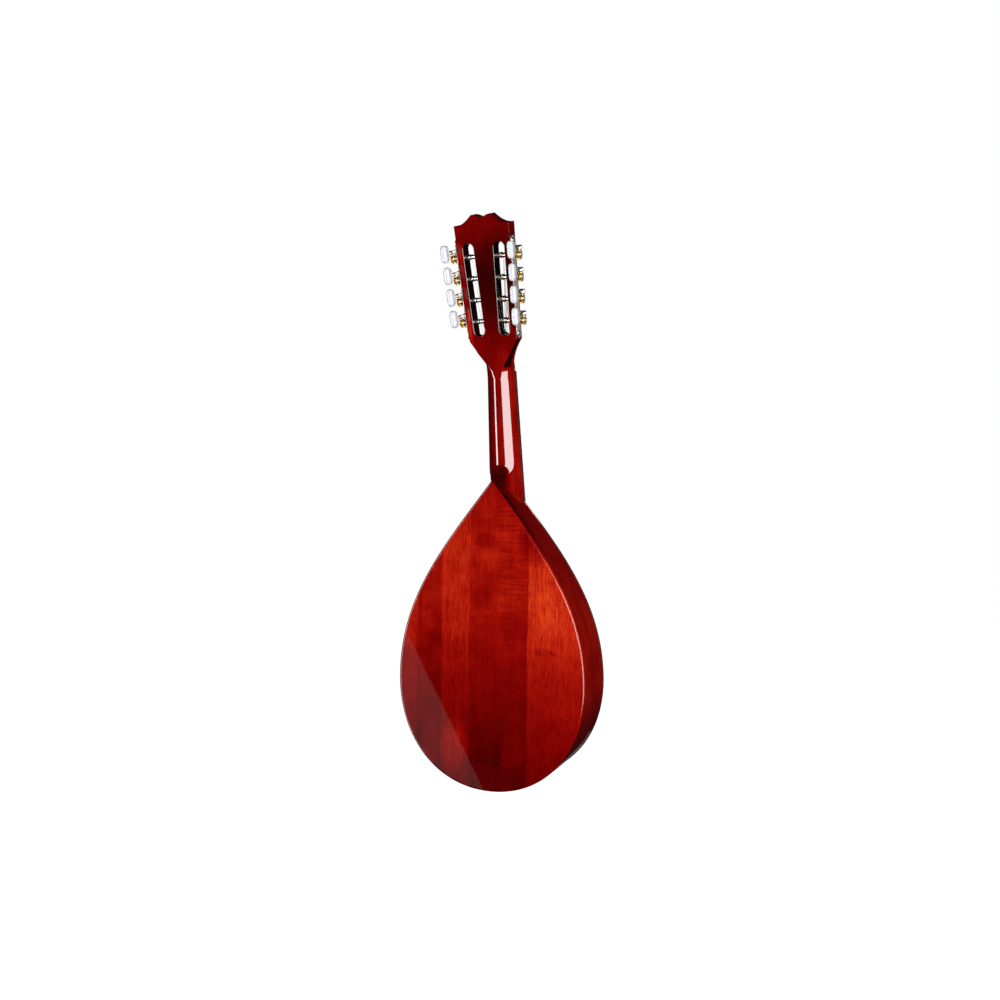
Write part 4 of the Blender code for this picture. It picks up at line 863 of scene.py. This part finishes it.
# the slots flare a little at both faces, as a rounded-over edge does
flare = 0.0007
slot_levels = [(-HEAD_THICKNESS - 0.006, flare), (-HEAD_THICKNESS, flare), (-HEAD_THICKNESS + flare * 0.29, flare * 0.29), (-HEAD_THICKNESS + flare, 0.0), (-flare, 0.0), (-flare * 0.62, flare * 0.076), (-flare * 0.29, flare * 0.29), (-flare * 0.076, flare * 0.62), (0.0, flare), (0.006, flare)]
slot_tool = loft([[(x, h, z) for x, z in slot_loop(grow)] for h, grow in slot_levels], "slot_tool")
RAMP_LOW, RAMP_HIGH, RAMP_SLOPE = 0.021, 0.047, 0.27
ramp_loop = [(RAMP_LOW, -HEAD_THICKNESS), (RAMP_HIGH, -HEAD_THICKNESS + RAMP_SLOPE * (RAMP_HIGH - RAMP_LOW)), (RAMP_HIGH, -HEAD_THICKNESS - 0.004), (RAMP_LOW - 0.006, -HEAD_THICKNESS - 0.004)]
STRIP, POST_AXIS, KEY_AXIS = {}, {}, {}
foot = head_half_width(TAPER_START) - TAPER_START * math.tan(SIDE_LEAN)
for side, flip in SIDES:
    lean = Matrix.Rotation(flip * SIDE_LEAN, 4, "Y")
    tools.append((extruded(ramp_loop, -0.0040, 0.0040, "X"), HEAD_LOCAL @ Matrix.Translation((flip * 0.0158, 0, 0)) @ lean, "DIFFERENCE"))
    tools.append((slot_tool.copy(), HEAD_LOCAL @ Matrix.Translation((flip * SLOT_CENTRE_X, 0, middle_s)) @ lean, "DIFFERENCE"))
    strip = HEAD_LOCAL @ Matrix.Translation((flip * foot, 0, 0)) @ lean
    STRIP[side] = ROW @ strip
    for number, s in enumerate(POST_S, 1):
        post = strip @ Matrix.Translation((0, POST_H, s))
        POST_AXIS[side, number] = ROW @ post
        KEY_AXIS[side, number] = ROW @ strip @ Matrix.Translation((flip * WORM_A, POST_H, s + WORM_OFFSET))
        bore = turned([(POST_RADIUS + 0.00025, -0.0240 if flip > 0 else -0.004), (POST_RADIUS + 0.00025, 0.004 if flip > 0 else 0.0240)], 24)
        tools.append((bore, post, "DIFFERENCE"))
neck_mesh = carved(loft(rings, "neck"), tools, bevel=(0.00032, 3, 42), name="neck_and_head")
piece("neck_and_head", neck_mesh, NECK, nodes=("neck",), angle=27, flat_first=True)

# ---------------------------------------------------------------- fretboard, frets, dots, nut
board_rows = []
levels = [(NUT_Z, board_face(NUT_Z) + BOARD_THICKNESS), (JOINT_Z, board_face(JOINT_Z) + BOARD_THICKNESS), (JOINT_Z - 0.0002, -0.00005), (BOARD_END_Z + 0.0008, -0.00005)]
for z, under in levels:
    w, face, r = board_half_width(z), board_face(z), 0.0006
    row = [(-w, under, z), (-w, face + r, z), (-w + r * 0.3, face + r * 0.3, z), (-w + r, face, z), (w - r, face, z), (w - r * 0.3, face + r * 0.3, z), (w, face + r, z), (w, under, z)]
    board_rows.append(row)
# a shallow ogee at the end over the soundboard
w, face = board_half_width(BOARD_END_Z) - 0.0006, board_face(BOARD_END_Z)
board_rows.append([(-w, -0.00005, BOARD_END_Z), (-w, face + 0.0009, BOARD_END_Z), (-w + 0.0003, face + 0.0007, BOARD_END_Z), (-w + 0.0006, face + 0.0006, BOARD_END_Z), (w - 0.0006, face + 0.0006, BOARD_END_Z), (w - 0.0003, face + 0.0007, BOARD_END_Z), (w, face + 0.0009, BOARD_END_Z), (w, -0.00005, BOARD_END_Z)])
piece("fingerboard", loft(board_rows, "fingerboard"), DARK, nodes=("fretboard",), angle=30)
fret_z = [NUT_Z - SCALE_LENGTH * (1 - 2 ** (-n / 12)) for n in range(1, FRETS + 1)]
fret_z = [z for z in fret_z if z > BOARD_END_Z + 0.003]
wires = []
for z in fret_z:
    w = board_half_width(z) - 0.0001
    face = board_face(z)
    rows = []
    for x, share in ((-w, 0.25), (-w + 0.0006, 0.85), (-w + 0.0012, 1.0), (w - 0.0012, 1.0), (w - 0.0006, 0.85), (w, 0.25)):
        row = []
        for k in range(9):
            a = math.pi * k / 8
            row.append((x, face + 0.0002 - (0.0012 * share) * math.sin(a), z + 0.00105 * math.cos(a)))
        rows.append(row)
    wires.append(loft(rows, "fret"))
piece("fret_wires", join_meshes(wires, "fret_wires"), FRETWIRE, nodes=("fretboard",), angle=40)
dots = []
positions = [NUT_Z] + fret_z
for n, xs in ((3, (0,)), (5, (0,)), (7, (0,)), (10, (0,)), (12, (-0.0065, 0.0065))):
    z = (positions[n - 1] + positions[n]) / 2
    for x in xs:
        dots.append(turned([(0.0, board_face(z) - 0.00012), (0.0024, board_face(z) - 0.00012), (0.0026, board_face(z) - 0.00004), (0.0026, board_face(z) + 0.0006), (0.0, board_face(z) + 0.0006)], 32, "Y"))
        dots[-1].transform(Matrix.Translation((x, 0, z)))
piece("position_dots", join_meshes(dots, "position_dots"), PEARL, nodes=("fretboard",), angle=40)

nut_back = board_face(NUT_Z) + BOARD_THICKNESS - 0.0002
nut_low = NUT_Z + 0.00005
nut_profile = [(nut_low, nut_back), (nut_low, NUT_TOP), (nut_low + 0.0004, NUT_TOP - 0.0004), (nut_low + 0.0014, NUT_TOP - 0.0003), (nut_low + 0.0024, NUT_TOP + 0.0005), (nut_low + 0.0034, NUT_TOP + 0.0018), (nut_low + 0.0040, NUT_TOP + 0.0028), (nut_low + 0.0040, nut_back)]
nut_mesh = extruded(nut_profile, -(HALF_WIDTH_AT_NUT - 0.0024), HALF_WIDTH_AT_NUT - 0.0024, "X")


def course_x(n, spread):
    pair, second = divmod(n, 2)
    return (pair - 1.5) * (spread - PAIR_SPACING) / 3 + (second - 0.5) * PAIR_SPACING


grooves = []
for n in range(8):
    x = course_x(n, NUT_SPREAD)
    grooves.append((tube([(x, NUT_TOP - STRING_RADII[n] + 0.0003, NUT_Z - 0.002), (x, NUT_TOP - STRING_RADII[n] + 0.0003, NUT_Z + 0.0024), (x, NUT_TOP + 0.0026, NUT_Z + 0.0062)], STRING_RADII[n] + 0.00012, 10), None, "DIFFERENCE"))
piece("bone_nut", carved(nut_mesh, grooves, bevel=(0.0002, 2, 40), name="bone_nut"), BONE, nodes=("nut",), angle=35)

# ---------------------------------------------------------------- bridge and tailpiece
bridge_rows = []
count = 60
for k in range(count + 1):
    x = -0.046 + 0.092 * k / count
    crest = BRIDGE_TOP + 0.0128 * smoothstep((abs(x) - 0.024) / 0.020)
    foot_y = -0.004 + (0.004 - 0.00005) * smoothstep((abs(x) - 0.0155) / 0.005)
    row = []
    for side_sign in (-1, 1):
        rim_row = []
        for t in (0.0, 0.06, 0.2, 0.4, 0.6, 0.8, 0.94, 1.0):
            y = foot_y + (crest - foot_y) * t
            half = 0.0017 + 0.0042 * smoothstep((y - BRIDGE_TOP) / 0.016)
            if t in (0.0, 1.0):
                half -= 0.0006
            rim_row.append((x, y, BRIDGE_Z + side_sign * half))
        row += rim_row if side_sign < 0 else rim_row[::-1]
    bridge_rows.append(row)
bridge_tools = []
for n in range(8):
    x = course_x(n, BRIDGE_SPREAD)
    bridge_tools.append((tube([(x, BRIDGE_TOP - STRING_RADII[n] * 0.4, BRIDGE_Z - 0.01), (x, BRIDGE_TOP - STRING_RADII[n] * 0.4, BRIDGE_Z + 0.01)], STRING_RADII[n] * 1.1, 10), None, "DIFFERENCE"))
piece("floating_bridge", carved(loft(bridge_rows, "bridge"), bridge_tools, bevel=(0.00025, 2, 40), name="floating_bridge"), DARK, nodes=("bridge",), angle=35)

plate_profile = [(0.0240, -0.0003), (0.0240, -0.0014), (0.0005, -0.0014)]
tail_outline = [(-0.0003, 0.0240), (-0.0014, 0.0240), (-0.0014, -0.0008), (-0.0008, -0.0014)]
# drawn as (z, y): over the tail, up the soundboard and out to the hooks
tail_loop = [(-0.0003, 0.0240), (-0.0014, 0.0240), (-0.0014, 0.0000), (-0.0012, -0.0009), (-0.0004, -0.0014), (0.0280, -0.0014), (0.0296, -0.0016), (0.0306, -0.0021), (0.0405, -0.0057), (0.0412, -0.0045), (0.0312, -0.0008), (0.0298, -0.0004), (0.0290, -0.0003), (0.0004, -0.0003), (-0.0002, 0.0002)]
tail_tools = []
for x, z in ((-0.0095, 0.0150), (0.0, 0.0150), (0.0095, 0.0150)):
    oval = [(x + 0.0030 * math.cos(2 * math.pi * k / 24), z + 0.0075 * math.sin(2 * math.pi * k / 24)) for k in range(24)]
    tail_tools.append((extruded(oval, -0.01, 0.0), None, "DIFFERENCE"))
# the corners of the strip that folds over the tail
for flip in (1, -1):
    corner = [(flip * 0.0090, 0.0255), (flip * 0.0190, 0.0255), (flip * 0.0190, 0.0080)]
    rows = [[(x, y, t) for x, y in corner] for t in (-0.004, 0.0015)]
    tail_tools.append((loft(rows, "corner"), None, "DIFFERENCE"))
tail_mesh = carved(extruded(tail_loop, -0.0180, 0.0180, "X"), tail_tools, bevel=(0.0002, 2, 40), name="tailpiece_shell")
extras = []
for n in range(8):
    x = course_x(n, BRIDGE_SPREAD)
    extras.append(tube([(x, -0.0040, 0.0385), (x, -0.0054, 0.0390), (x, -0.0064, 0.0396), (x, -0.0070, 0.0392), (x, -0.0072, 0.0380)], 0.0006, 10))
for x, y in ((-0.0045, 0.0165), (0.0045, 0.0165), (0.0, 0.0080)):
    screw = turned([(0.0, -0.0021), (0.0012, -0.0020), (0.0019, -0.0016), (0.0021, -0.0012), (0.0021, -0.0006), (0.0, -0.0006)], 24, "Z")
    slot_cut = extruded([(-0.0003, -0.0030), (0.0003, -0.0030), (0.0003, 0.0030), (-0.0003, 0.0030)], -0.0030, -0.0016, "Y")
    slot_cut.transform(Matrix.Rotation(math.radians(-90), 4, "X"))
    screw.transform(Matrix.Translation((x, y, 0)))
    extras.append(screw)
piece("tailpiece_shell", join_meshes([tail_mesh, *extras], "tailpiece_shell"), NICKEL, nodes=("tailpiece",), angle=35)


# ---------------------------------------------------------------- strings
def post_point(side, index, a, h):
    s = POST_S[index]
    at = Vector((head_half_width(s), h, s)) + Vector((math.cos(SIDE_LEAN), 0, -math.sin(SIDE_LEAN))) * a
    at.x *= side
    return HEAD_LOCAL @ at


for n in range(8):
    side = -1 if n < 4 else 1
    index = n if n < 4 else 7 - n
    x_nut, x_bridge = course_x(n, NUT_SPREAD), course_x(n, BRIDGE_SPREAD)
    radius = STRING_RADII[n]
    end = post_point(side, index, -0.0118, POST_H - POST_RADIUS - GAP - radius)
    bridge_top = Vector((x_bridge, BRIDGE_TOP - 0.0001 - radius, BRIDGE_Z))
    nut_top = Vector((x_nut, NUT_TOP - radius + 0.0002, NUT_Z + GAP + 0.0012))
    nut_back_point = Vector((x_nut, NUT_TOP - radius + 0.0006, NUT_Z + 0.0026))
    tail = Vector((x_bridge, TAIL_HOOK[0] - radius, TAIL_HOOK[1]))
    path = [tail.lerp(bridge_top, t) for t in (0, 0.5, 0.985)]
    path += [bridge_top, bridge_top.lerp(nut_top, 0.006)]
    path += [bridge_top.lerp(nut_top, t) for t in (0.25, 0.5, 0.75)]
    path += [nut_top, nut_back_point]
    path += [nut_back_point.lerp(Vector(end), t) for t in (0.5, 0.97)] + [Vector(end)]
    name = "string_%d_%s" % (n + 1, "bass" if n < 4 else "treble")
    piece("wire_%d" % (n + 1), tube(path, radius, 12), WOUND if radius > 0.0003 else STEEL, nodes=(name,), angle=60)

# ---------------------------------------------------------------- tuning machines
MIRROR = Matrix.Scale(-1, 4, (1, 0, 0))


def mirrored_mesh(mesh, flip):
    if flip > 0:
        return mesh.copy()
    made = mesh.copy()
    made.transform(MIRROR)
    made.flip_normals()
    return made


def gear_mesh():
    """A throated worm wheel: fourteen leaning teeth, hollowed along its rim."""
    lean = WORM_PITCH / (2 * math.pi * WORM_MEAN_RADIUS)
    half = (GEAR_OUT - GEAR_IN) / 2
    stations = [(-half, 0.00045), (-half + 0.00035, 0.00012), (-half + 0.0007, 0.0), (-half * 0.5, 0.00022), (0.0, 0.00042), (half * 0.5, 0.00022), (half - 0.0007, 0.0), (half - 0.00035, 0.00012), (half, 0.00045)]
    rings = []
    for a, less in stations:
        turn = a * lean / ((GEAR_TIP_RADIUS + GEAR_ROOT_RADIUS) / 2)
        ring = []
        for tooth in range(GEAR_TEETH):
            for share, radius in ((-0.34, GEAR_ROOT_RADIUS), (-0.26, GEAR_ROOT_RADIUS + 0.00018), (-0.17, GEAR_TIP_RADIUS - 0.00022), (-0.10, GEAR_TIP_RADIUS), (0.10, GEAR_TIP_RADIUS), (0.17, GEAR_TIP_RADIUS - 0.00022), (0.26, GEAR_ROOT_RADIUS + 0.00018), (0.34, GEAR_ROOT_RADIUS)):
                angle = 2 * math.pi * (tooth + share) / GEAR_TEETH
                r = radius - less * (0.5 + 0.5 * (radius - GEAR_ROOT_RADIUS) / (GEAR_TIP_RADIUS - GEAR_ROOT_RADIUS))
                y, z = r * math.sin(angle), r * math.cos(angle)
                ring.append((a, y * math.cos(turn) - z * math.sin(turn), y * math.sin(turn) + z * math.cos(turn)))
        rings.append(ring)
    return loft(rings, "gear")


def worm_mesh():
    sides_, count = 20, 120
    low, high = 0.0002 - LUG_H, LUG_H - 0.0002

    def ring(h, radius, throw=0.0):
        turn = 2 * math.pi * h / WORM_PITCH
        cx, cy = throw * math.sin(turn), throw * math.cos(turn)
        return [(cx + radius * math.cos(2 * math.pi * k / sides_), h, cy + radius * math.sin(2 * math.pi * k / sides_)) for k in range(sides_)]

    end = LUG_H + LUG_THICKNESS
    rings = [ring(-end - 0.0012, SHAFT_RADIUS * 0.7), ring(-end - 0.0010, SHAFT_RADIUS), ring(low - 0.0002, SHAFT_RADIUS)]
    for k in range(count + 1):
        rings.append(ring(low + (high - low) * k / count, WORM_MEAN_RADIUS, WORM_THROW))
    neck_h = BUTTON_CENTRE_H - POST_H
    rings += [ring(high + 0.0002, SHAFT_RADIUS), ring(end + 0.0003, SHAFT_RADIUS), ring(end + 0.0003, SHAFT_RADIUS * 1.7), ring(end + 0.0005, SHAFT_RADIUS * 1.85), ring(end + 0.0013, SHAFT_RADIUS * 1.85), ring(end + 0.0016, SHAFT_RADIUS * 1.6)]
    rings += [ring(end + 0.0024, SHAFT_RADIUS * 1.15), ring(end + 0.0036, SHAFT_RADIUS), ring(neck_h - BUTTON_DEPTH / 2 - 0.0022, SHAFT_RADIUS)]
    rings += [ring(neck_h - BUTTON_DEPTH / 2 - 0.0014, SHAFT_RADIUS * 1.5), ring(neck_h - BUTTON_DEPTH / 2 + 0.0002, SHAFT_RADIUS * 1.6), ring(neck_h - BUTTON_DEPTH / 2 + 0.0004, SHAFT_RADIUS), ring(neck_h + 0.0010, SHAFT_RADIUS)]
    return loft(rings, "worm")


def button_mesh():
    """An oval pearl button: wide and long, pinched a little towards its shaft, with soft edges."""
    rows, around = 36, 48
    rings = []
    power_out, power_round = 0.50, 0.56

    def signed(v, p):
        return math.copysign(abs(v) ** p, v)

    for i in range(rows + 1):
        # from the shaft's end to the far end along h
        e = -math.pi / 2 + math.pi * i / rows
        ring = []
        for k in range(around):
            w = 2 * math.pi * k / around
            c = signed(math.cos(e), power_out)
            a = BUTTON_WIDTH / 2 * c * signed(math.cos(w), power_round)
            s = 0.92 * BUTTON_LENGTH / 2 * c * signed(math.sin(w), power_out)
            h = BUTTON_DEPTH / 2 * signed(math.sin(e), power_out)
            pinch = 1.0 - 0.10 * smoothstep((-h / (BUTTON_DEPTH / 2) + 0.2) / 1.2)
            ring.append((a * pinch, h, s * pinch))
        rings.append(ring)
    return loft(rings, "button", caps=True)


def post_mesh():
    r, q = POST_RADIUS, SPINDLE_RADIUS
    profile = [
        (0.0, -0.0235), (r * 0.82, -0.0235), (r, -0.0232), (r, -0.0172), (r * 0.97, -0.0170), (r * 0.97, -0.0062), (r, -0.0060), (r, -0.0006), (r * 0.92, -0.0004), (q, -0.0004),
        (q, PLATE_THICKNESS + 2 * GAP), (q + 0.0009, PLATE_THICKNESS + 2 * GAP), (q + 0.0010, PLATE_THICKNESS + 2 * GAP + 0.0001), (q + 0.0010, GEAR_IN - GAP - 0.0001), (q + 0.0009, GEAR_IN - GAP), (q, GEAR_IN - GAP),
        (q, GEAR_OUT + 0.0001), (q + 0.0005, GEAR_OUT + 0.0001), (q + 0.0005, GEAR_OUT + 0.0004), (q + 0.0002, GEAR_OUT + 0.0007), (0.0, GEAR_OUT + 0.0008),
    ]
    made = turned(profile, 32)
    # a screwdriver slot in the head and a hole for the string
    slot_cut = loft([[(x, y, z) for x, y in ((GEAR_OUT + 0.0004, -0.0003), (GEAR_OUT + 0.0020, -0.0003), (GEAR_OUT + 0.0020, 0.0003), (GEAR_OUT + 0.0004, 0.0003))] for z in (-0.004, 0.004)], "slot")
    hole_cut = tube([(-0.0132, -0.004, 0), (-0.0132, 0.004, 0)], 0.0006, 12)
    return carved(made, [(slot_cut, None, "DIFFERENCE"), (hole_cut, None, "DIFFERENCE")], name="post")


def plate_outline(less=0.0, arcs=12):
    half, r = (PLATE_HIGH - PLATE_LOW) / 2 - less, PLATE_HALF_HEIGHT - less
    loop = []
    for end in (1, -1):
        for k in range(arcs + 1):
            a = math.pi * k / arcs
            loop.append((end * r * math.cos(a), end * (half - r * 0.95 + r * 0.95 * math.sin(a))))
    return loop


def strip_mesh():
    """The strip with a turned-up look at its edge, lugs for the worms, and slotted screws."""
    middle = (PLATE_LOW + PLATE_HIGH) / 2
    rows = []
    for a, less in ((GAP, 0.0), (GAP + PLATE_THICKNESS - 0.0004, 0.0), (GAP + PLATE_THICKNESS - 0.0001, 0.0001), (GAP + PLATE_THICKNESS, 0.0004)):
        rows.append([(a, POST_H + y, middle + z) for y, z in plate_outline(less)])
    base = loft(rows, "plate")
    tools_ = []
    for s in POST_S:
        tools_.append((turned([(SPINDLE_RADIUS + 0.0003, -0.002), (SPINDLE_RADIUS + 0.0003, 0.004)], 24), Matrix.Translation((0, POST_H, s)), "DIFFERENCE"))
        centre = s + WORM_OFFSET
        outline = [(GAP + 0.0004, centre - 0.0026), (WORM_A - 0.001, centre - 0.0025)]
        outline += [(WORM_A + 0.0025 * math.cos(a), centre + 0.0025 * math.sin(a)) for a in (-math.pi / 2 + math.pi * k / 12 for k in range(1, 12))]
        outline += [(WORM_A - 0.001, centre + 0.0025), (GAP + 0.0004, centre + 0.0026)]
        for end in (-1, 1):
            low, high = sorted((end * LUG_H, end * (LUG_H + LUG_THICKNESS)))
            lug = extruded(outline, POST_H + low, POST_H + high)
            tools_.append((lug, None, "UNION"))
            eye = tube([(WORM_A, POST_H + low - 0.001, centre), (WORM_A, POST_H + high + 0.001, centre)], SHAFT_RADIUS + 0.0002, 16)
            tools_.append((eye, None, "DIFFERENCE"))
    body = carved(base, tools_, bevel=(0.00018, 2, 50), name="strip")
    screws = []
    for number, s in enumerate((PLATE_LOW + 0.0055, PLATE_HIGH - 0.0055)):
        top = GAP + PLATE_THICKNESS
        head_ = turned([(0.0, top - 0.0004), (0.0029, top - 0.0004), (0.0029, top + 0.0001), (0.0026, top + 0.0005), (0.0019, top + 0.0009), (0.0010, top + 0.00115), (0.0, top + 0.0012)], 28)
        cutter = loft([[(x, y, z) for x, y in ((top + 0.0005, -0.0003), (top + 0.002, -0.0003), (top + 0.002, 0.0003), (top + 0.0005, 0.0003))] for z in (-0.004, 0.004)], "slot")
        cutter.transform(Matrix.Rotation(0.5 + number * 1.1, 4, "X"))
        head_ = carved(head_, [(cutter, None, "DIFFERENCE")], name="screw")
        head_.transform(Matrix.Translation((0, POST_H, s)))
        screws.append(head_)
    return join_meshes([body, *screws], "strip")


gear, worm, button, post, strip = gear_mesh(), worm_mesh(), button_mesh(), post_mesh(), strip_mesh()
for side, flip in SIDES:
    piece("strip_" + side, mirrored_mesh(strip, flip), NICKEL, nodes=("tuner_plate_" + side,), matrix=STRIP[side], angle=30, flat_first=True)
    for number in range(1, 5):
        tag = "%s_%d" % (side, number)
        roller, key = "roller_" + tag, "key_" + tag
        axis = POST_AXIS[side, number]
        piece("roller_rod_" + tag, mirrored_mesh(post, flip), NICKEL, roller, ("post_" + tag,), axis, 30)
        piece("wheel_" + tag, mirrored_mesh(gear, flip), BRASS, roller, ("gear_" + tag,), axis @ Matrix.Translation((flip * (GEAR_IN + GEAR_OUT) / 2, 0, 0)), 28)
        piece("worm_" + tag, mirrored_mesh(worm, flip), NICKEL, key, ("worm_shaft_" + tag,), KEY_AXIS[side, number], 50)
        piece("pearl_button_" + tag, mirrored_mesh(button, flip), PEARL, key, ("button_" + tag,), KEY_AXIS[side, number] @ Matrix.Translation((0, BUTTON_CENTRE_H - POST_H, 0)), 60)
        # the string's turns round the roller
        string = number - 1 if side == "bass" else 8 - number
        r = STRING_RADII[string]
        turns, per = (4, 16)
        coil = []
        for k in range(turns * per + 1):
            a = 2 * math.pi * k / per
            reach = POST_RADIUS * 0.97 + r + 0.00003
            coil.append((flip * (-0.0118 - 0.00003 - (k / per) * r * 2.08 + r), reach * math.sin(a), reach * math.cos(a)))
        piece("turns_" + tag, tube(coil, r, 8), WOUND if r > 0.0003 else STEEL, roller, ("post_" + tag,), axis, 60)

# CAD nodes that stay: bare wood inside the body
for name, node in frame["nodes"].items():
    if not node.hide_render:
        node.data.materials.clear()
        node.data.materials.append(INNER)

# ---------------------------------------------------------------- stage, lights and camera
floor_mesh = loft([[(2.6 * math.cos(2 * math.pi * k / 96), 2.6 * math.sin(2 * math.pi * k / 96), z) for k in range(96)] for z in (-0.305, -0.300)], "floor")
floor_look = Look("pale_floor")
floor_look.set(Base_Color=floor_look.mix(floor_look.span(floor_look.noise((3, 3, 3)), 0.3, 0.7), (0.92, 0.92, 0.92), (0.94, 0.94, 0.94)), Roughness=0.8, Emission_Color=(1.0, 1.0, 1.0, 1.0), Emission_Strength=1.0)
floor_mesh.materials.append(floor_look.material)
floor = bpy.data.objects.new("floor", floor_mesh)
scene_collection.objects.link(floor)
floor.visible_diffuse = False
floor.visible_glossy = False
floor.visible_shadow = False

world = bpy.data.worlds.new("studio")
bpy.context.scene.world = world
world.use_nodes = True
tree = world.node_tree
background = tree.nodes["Background"]
path = tree.nodes.new("ShaderNodeLightPath")
shade = tree.nodes.new("ShaderNodeMix")
shade.data_type = "RGBA"
tree.links.new(path.outputs["Is Camera Ray"], shade.inputs[0])
colours = [s for s in shade.inputs if s.type == "RGBA"]
colours[0].default_value = (0.006, 0.006, 0.007, 1)
colours[1].default_value = (1.0, 1.0, 1.0, 1)
tree.links.new([s for s in shade.outputs if s.type == "RGBA"][0], background.inputs["Color"])

AIM = Vector((0.0, 0.0, 0.38))


def softbox(name, azimuth, distance, width, height, z, radiance, colour=(1, 1, 1), aim=AIM, spread=180, roll=0.0, glossy=True, diffuse=True):
    """A rectangular light at an azimuth from +Y towards +X, facing the instrument."""
    lamp = bpy.data.lights.new(name, "AREA")
    lamp.shape, lamp.size, lamp.size_y = "RECTANGLE", width, height
    lamp.energy = radiance * math.pi * width * height
    lamp.color = colour
    lamp.spread = math.radians(spread)
    made = bpy.data.objects.new(name, lamp)
    scene_collection.objects.link(made)
    a = math.radians(azimuth)
    at = Vector((aim.x + distance * math.sin(a), aim.y + distance * math.cos(a), z))
    made.location = at
    made.rotation_euler = (Vector((aim.x, aim.y, z)) - at).to_track_quat("-Z", "Y").to_euler()
    made.visible_camera = False
    made.visible_glossy = glossy
    made.visible_diffuse = diffuse
    return made


def panel(name, centre, across, along, width, height, radiance):
    """A rectangular light from its centre and the directions of its sides."""
    lamp = bpy.data.lights.new(name, "AREA")
    lamp.shape, lamp.size, lamp.size_y = "RECTANGLE", width, height
    lamp.energy = radiance * math.pi * width * height
    made = bpy.data.objects.new(name, lamp)
    scene_collection.objects.link(made)
    across, along = Vector(across).normalized(), Vector(along).normalized()
    facing = across.cross(along)  # the light shines against this
    made.matrix_world = Matrix.Translation(centre) @ Matrix((across, along, facing)).transposed().to_4x4()
    made.visible_camera = False
    return made


softbox("wide_box", -37.3, 1.7, 2.12, 1.56, 0.41, 7.0)
# a leaning strip: the thin line down the far side of the neck
panel("strip_box", (1.10, 1.38, 0.20), (-0.72, 0.42, 0.36), (-0.38, 0.22, 0.90), 0.30, 1.30, 9.0)
# a dim panel whose straight edge crosses the lower corner of the back
edge_run, edge_in = Vector((0.533, 0.0, 0.846)), Vector((-0.846, 0.0, 0.533))
panel("side_panel", Vector((0.3265, 0.60, 0.0115)) - edge_run * 0.01 - edge_in * 0.08, edge_in, edge_run, 0.16, 0.322, 0.26)
# the pale floor as the underside of the body sees it
panel("floor_sheen", (0.859, -1.237, -0.29), (-0.24, 0.97, 0), (0.97, 0.24, 0), 1.40, 1.60, 0.12)
# white walls that only the metal parts see
shiny = bpy.data.collections.new("metal_parts")
for made in list(bpy.data.objects):
    if made.type == "MESH" and any(m and m.name.startswith(("nickel", "brass", "string_steel", "wound", "fret_wire")) for m in made.data.materials):
        shiny.objects.link(made)
for name, azimuth, width, radiance in (("white_wall_bass", -150, 1.7, 0.36), ("white_wall_treble", 120, 1.7, 0.7)):
    wall = softbox(name, azimuth, 1.8, width, 1.6, 0.35, radiance)
    wall.light_linking.receiver_collection = shiny
# the soundboard side has its own light, linked only to the pieces listed here; the back, the neck, the tuning machines
# and the backdrop are left alone
front = bpy.data.collections.new("front_parts")
for made in list(bpy.data.objects):
    if made.type == "MESH" and made.name.startswith(("top_plate", "rosette", "fingerboard", "fret_wires", "position_dots", "bone_nut", "floating_bridge", "tailpiece_shell", "wire_", "side_")):
        front.objects.link(made)
front_box = softbox("front_box", 150, 2.0, 1.0, 1.4, 0.75, 7.0)
front_box.light_linking.receiver_collection = front

camera = bpy.data.cameras.new("camera")
camera.lens, camera.sensor_width, camera.sensor_fit = 43.2, 36.0, "HORIZONTAL"
camera.clip_start, camera.clip_end = 0.05, 50.0
camera_object = bpy.data.objects.new("camera", camera)
scene_collection.objects.link(camera_object)
turn = Matrix(((-0.91381951, 0.01685531, -0.40577062), (-0.4055977, -0.08855993, 0.90975142), (-0.02060088, 0.99592823, 0.08776427)))
camera_object.matrix_world = Matrix.Translation((-0.53481388, 1.19518276, 0.43009920)) @ turn.to_4x4()
bpy.context.scene.camera = camera_object
bpy.context.scene.view_settings.view_transform = "Standard"

bpy.context.view_layer.update()
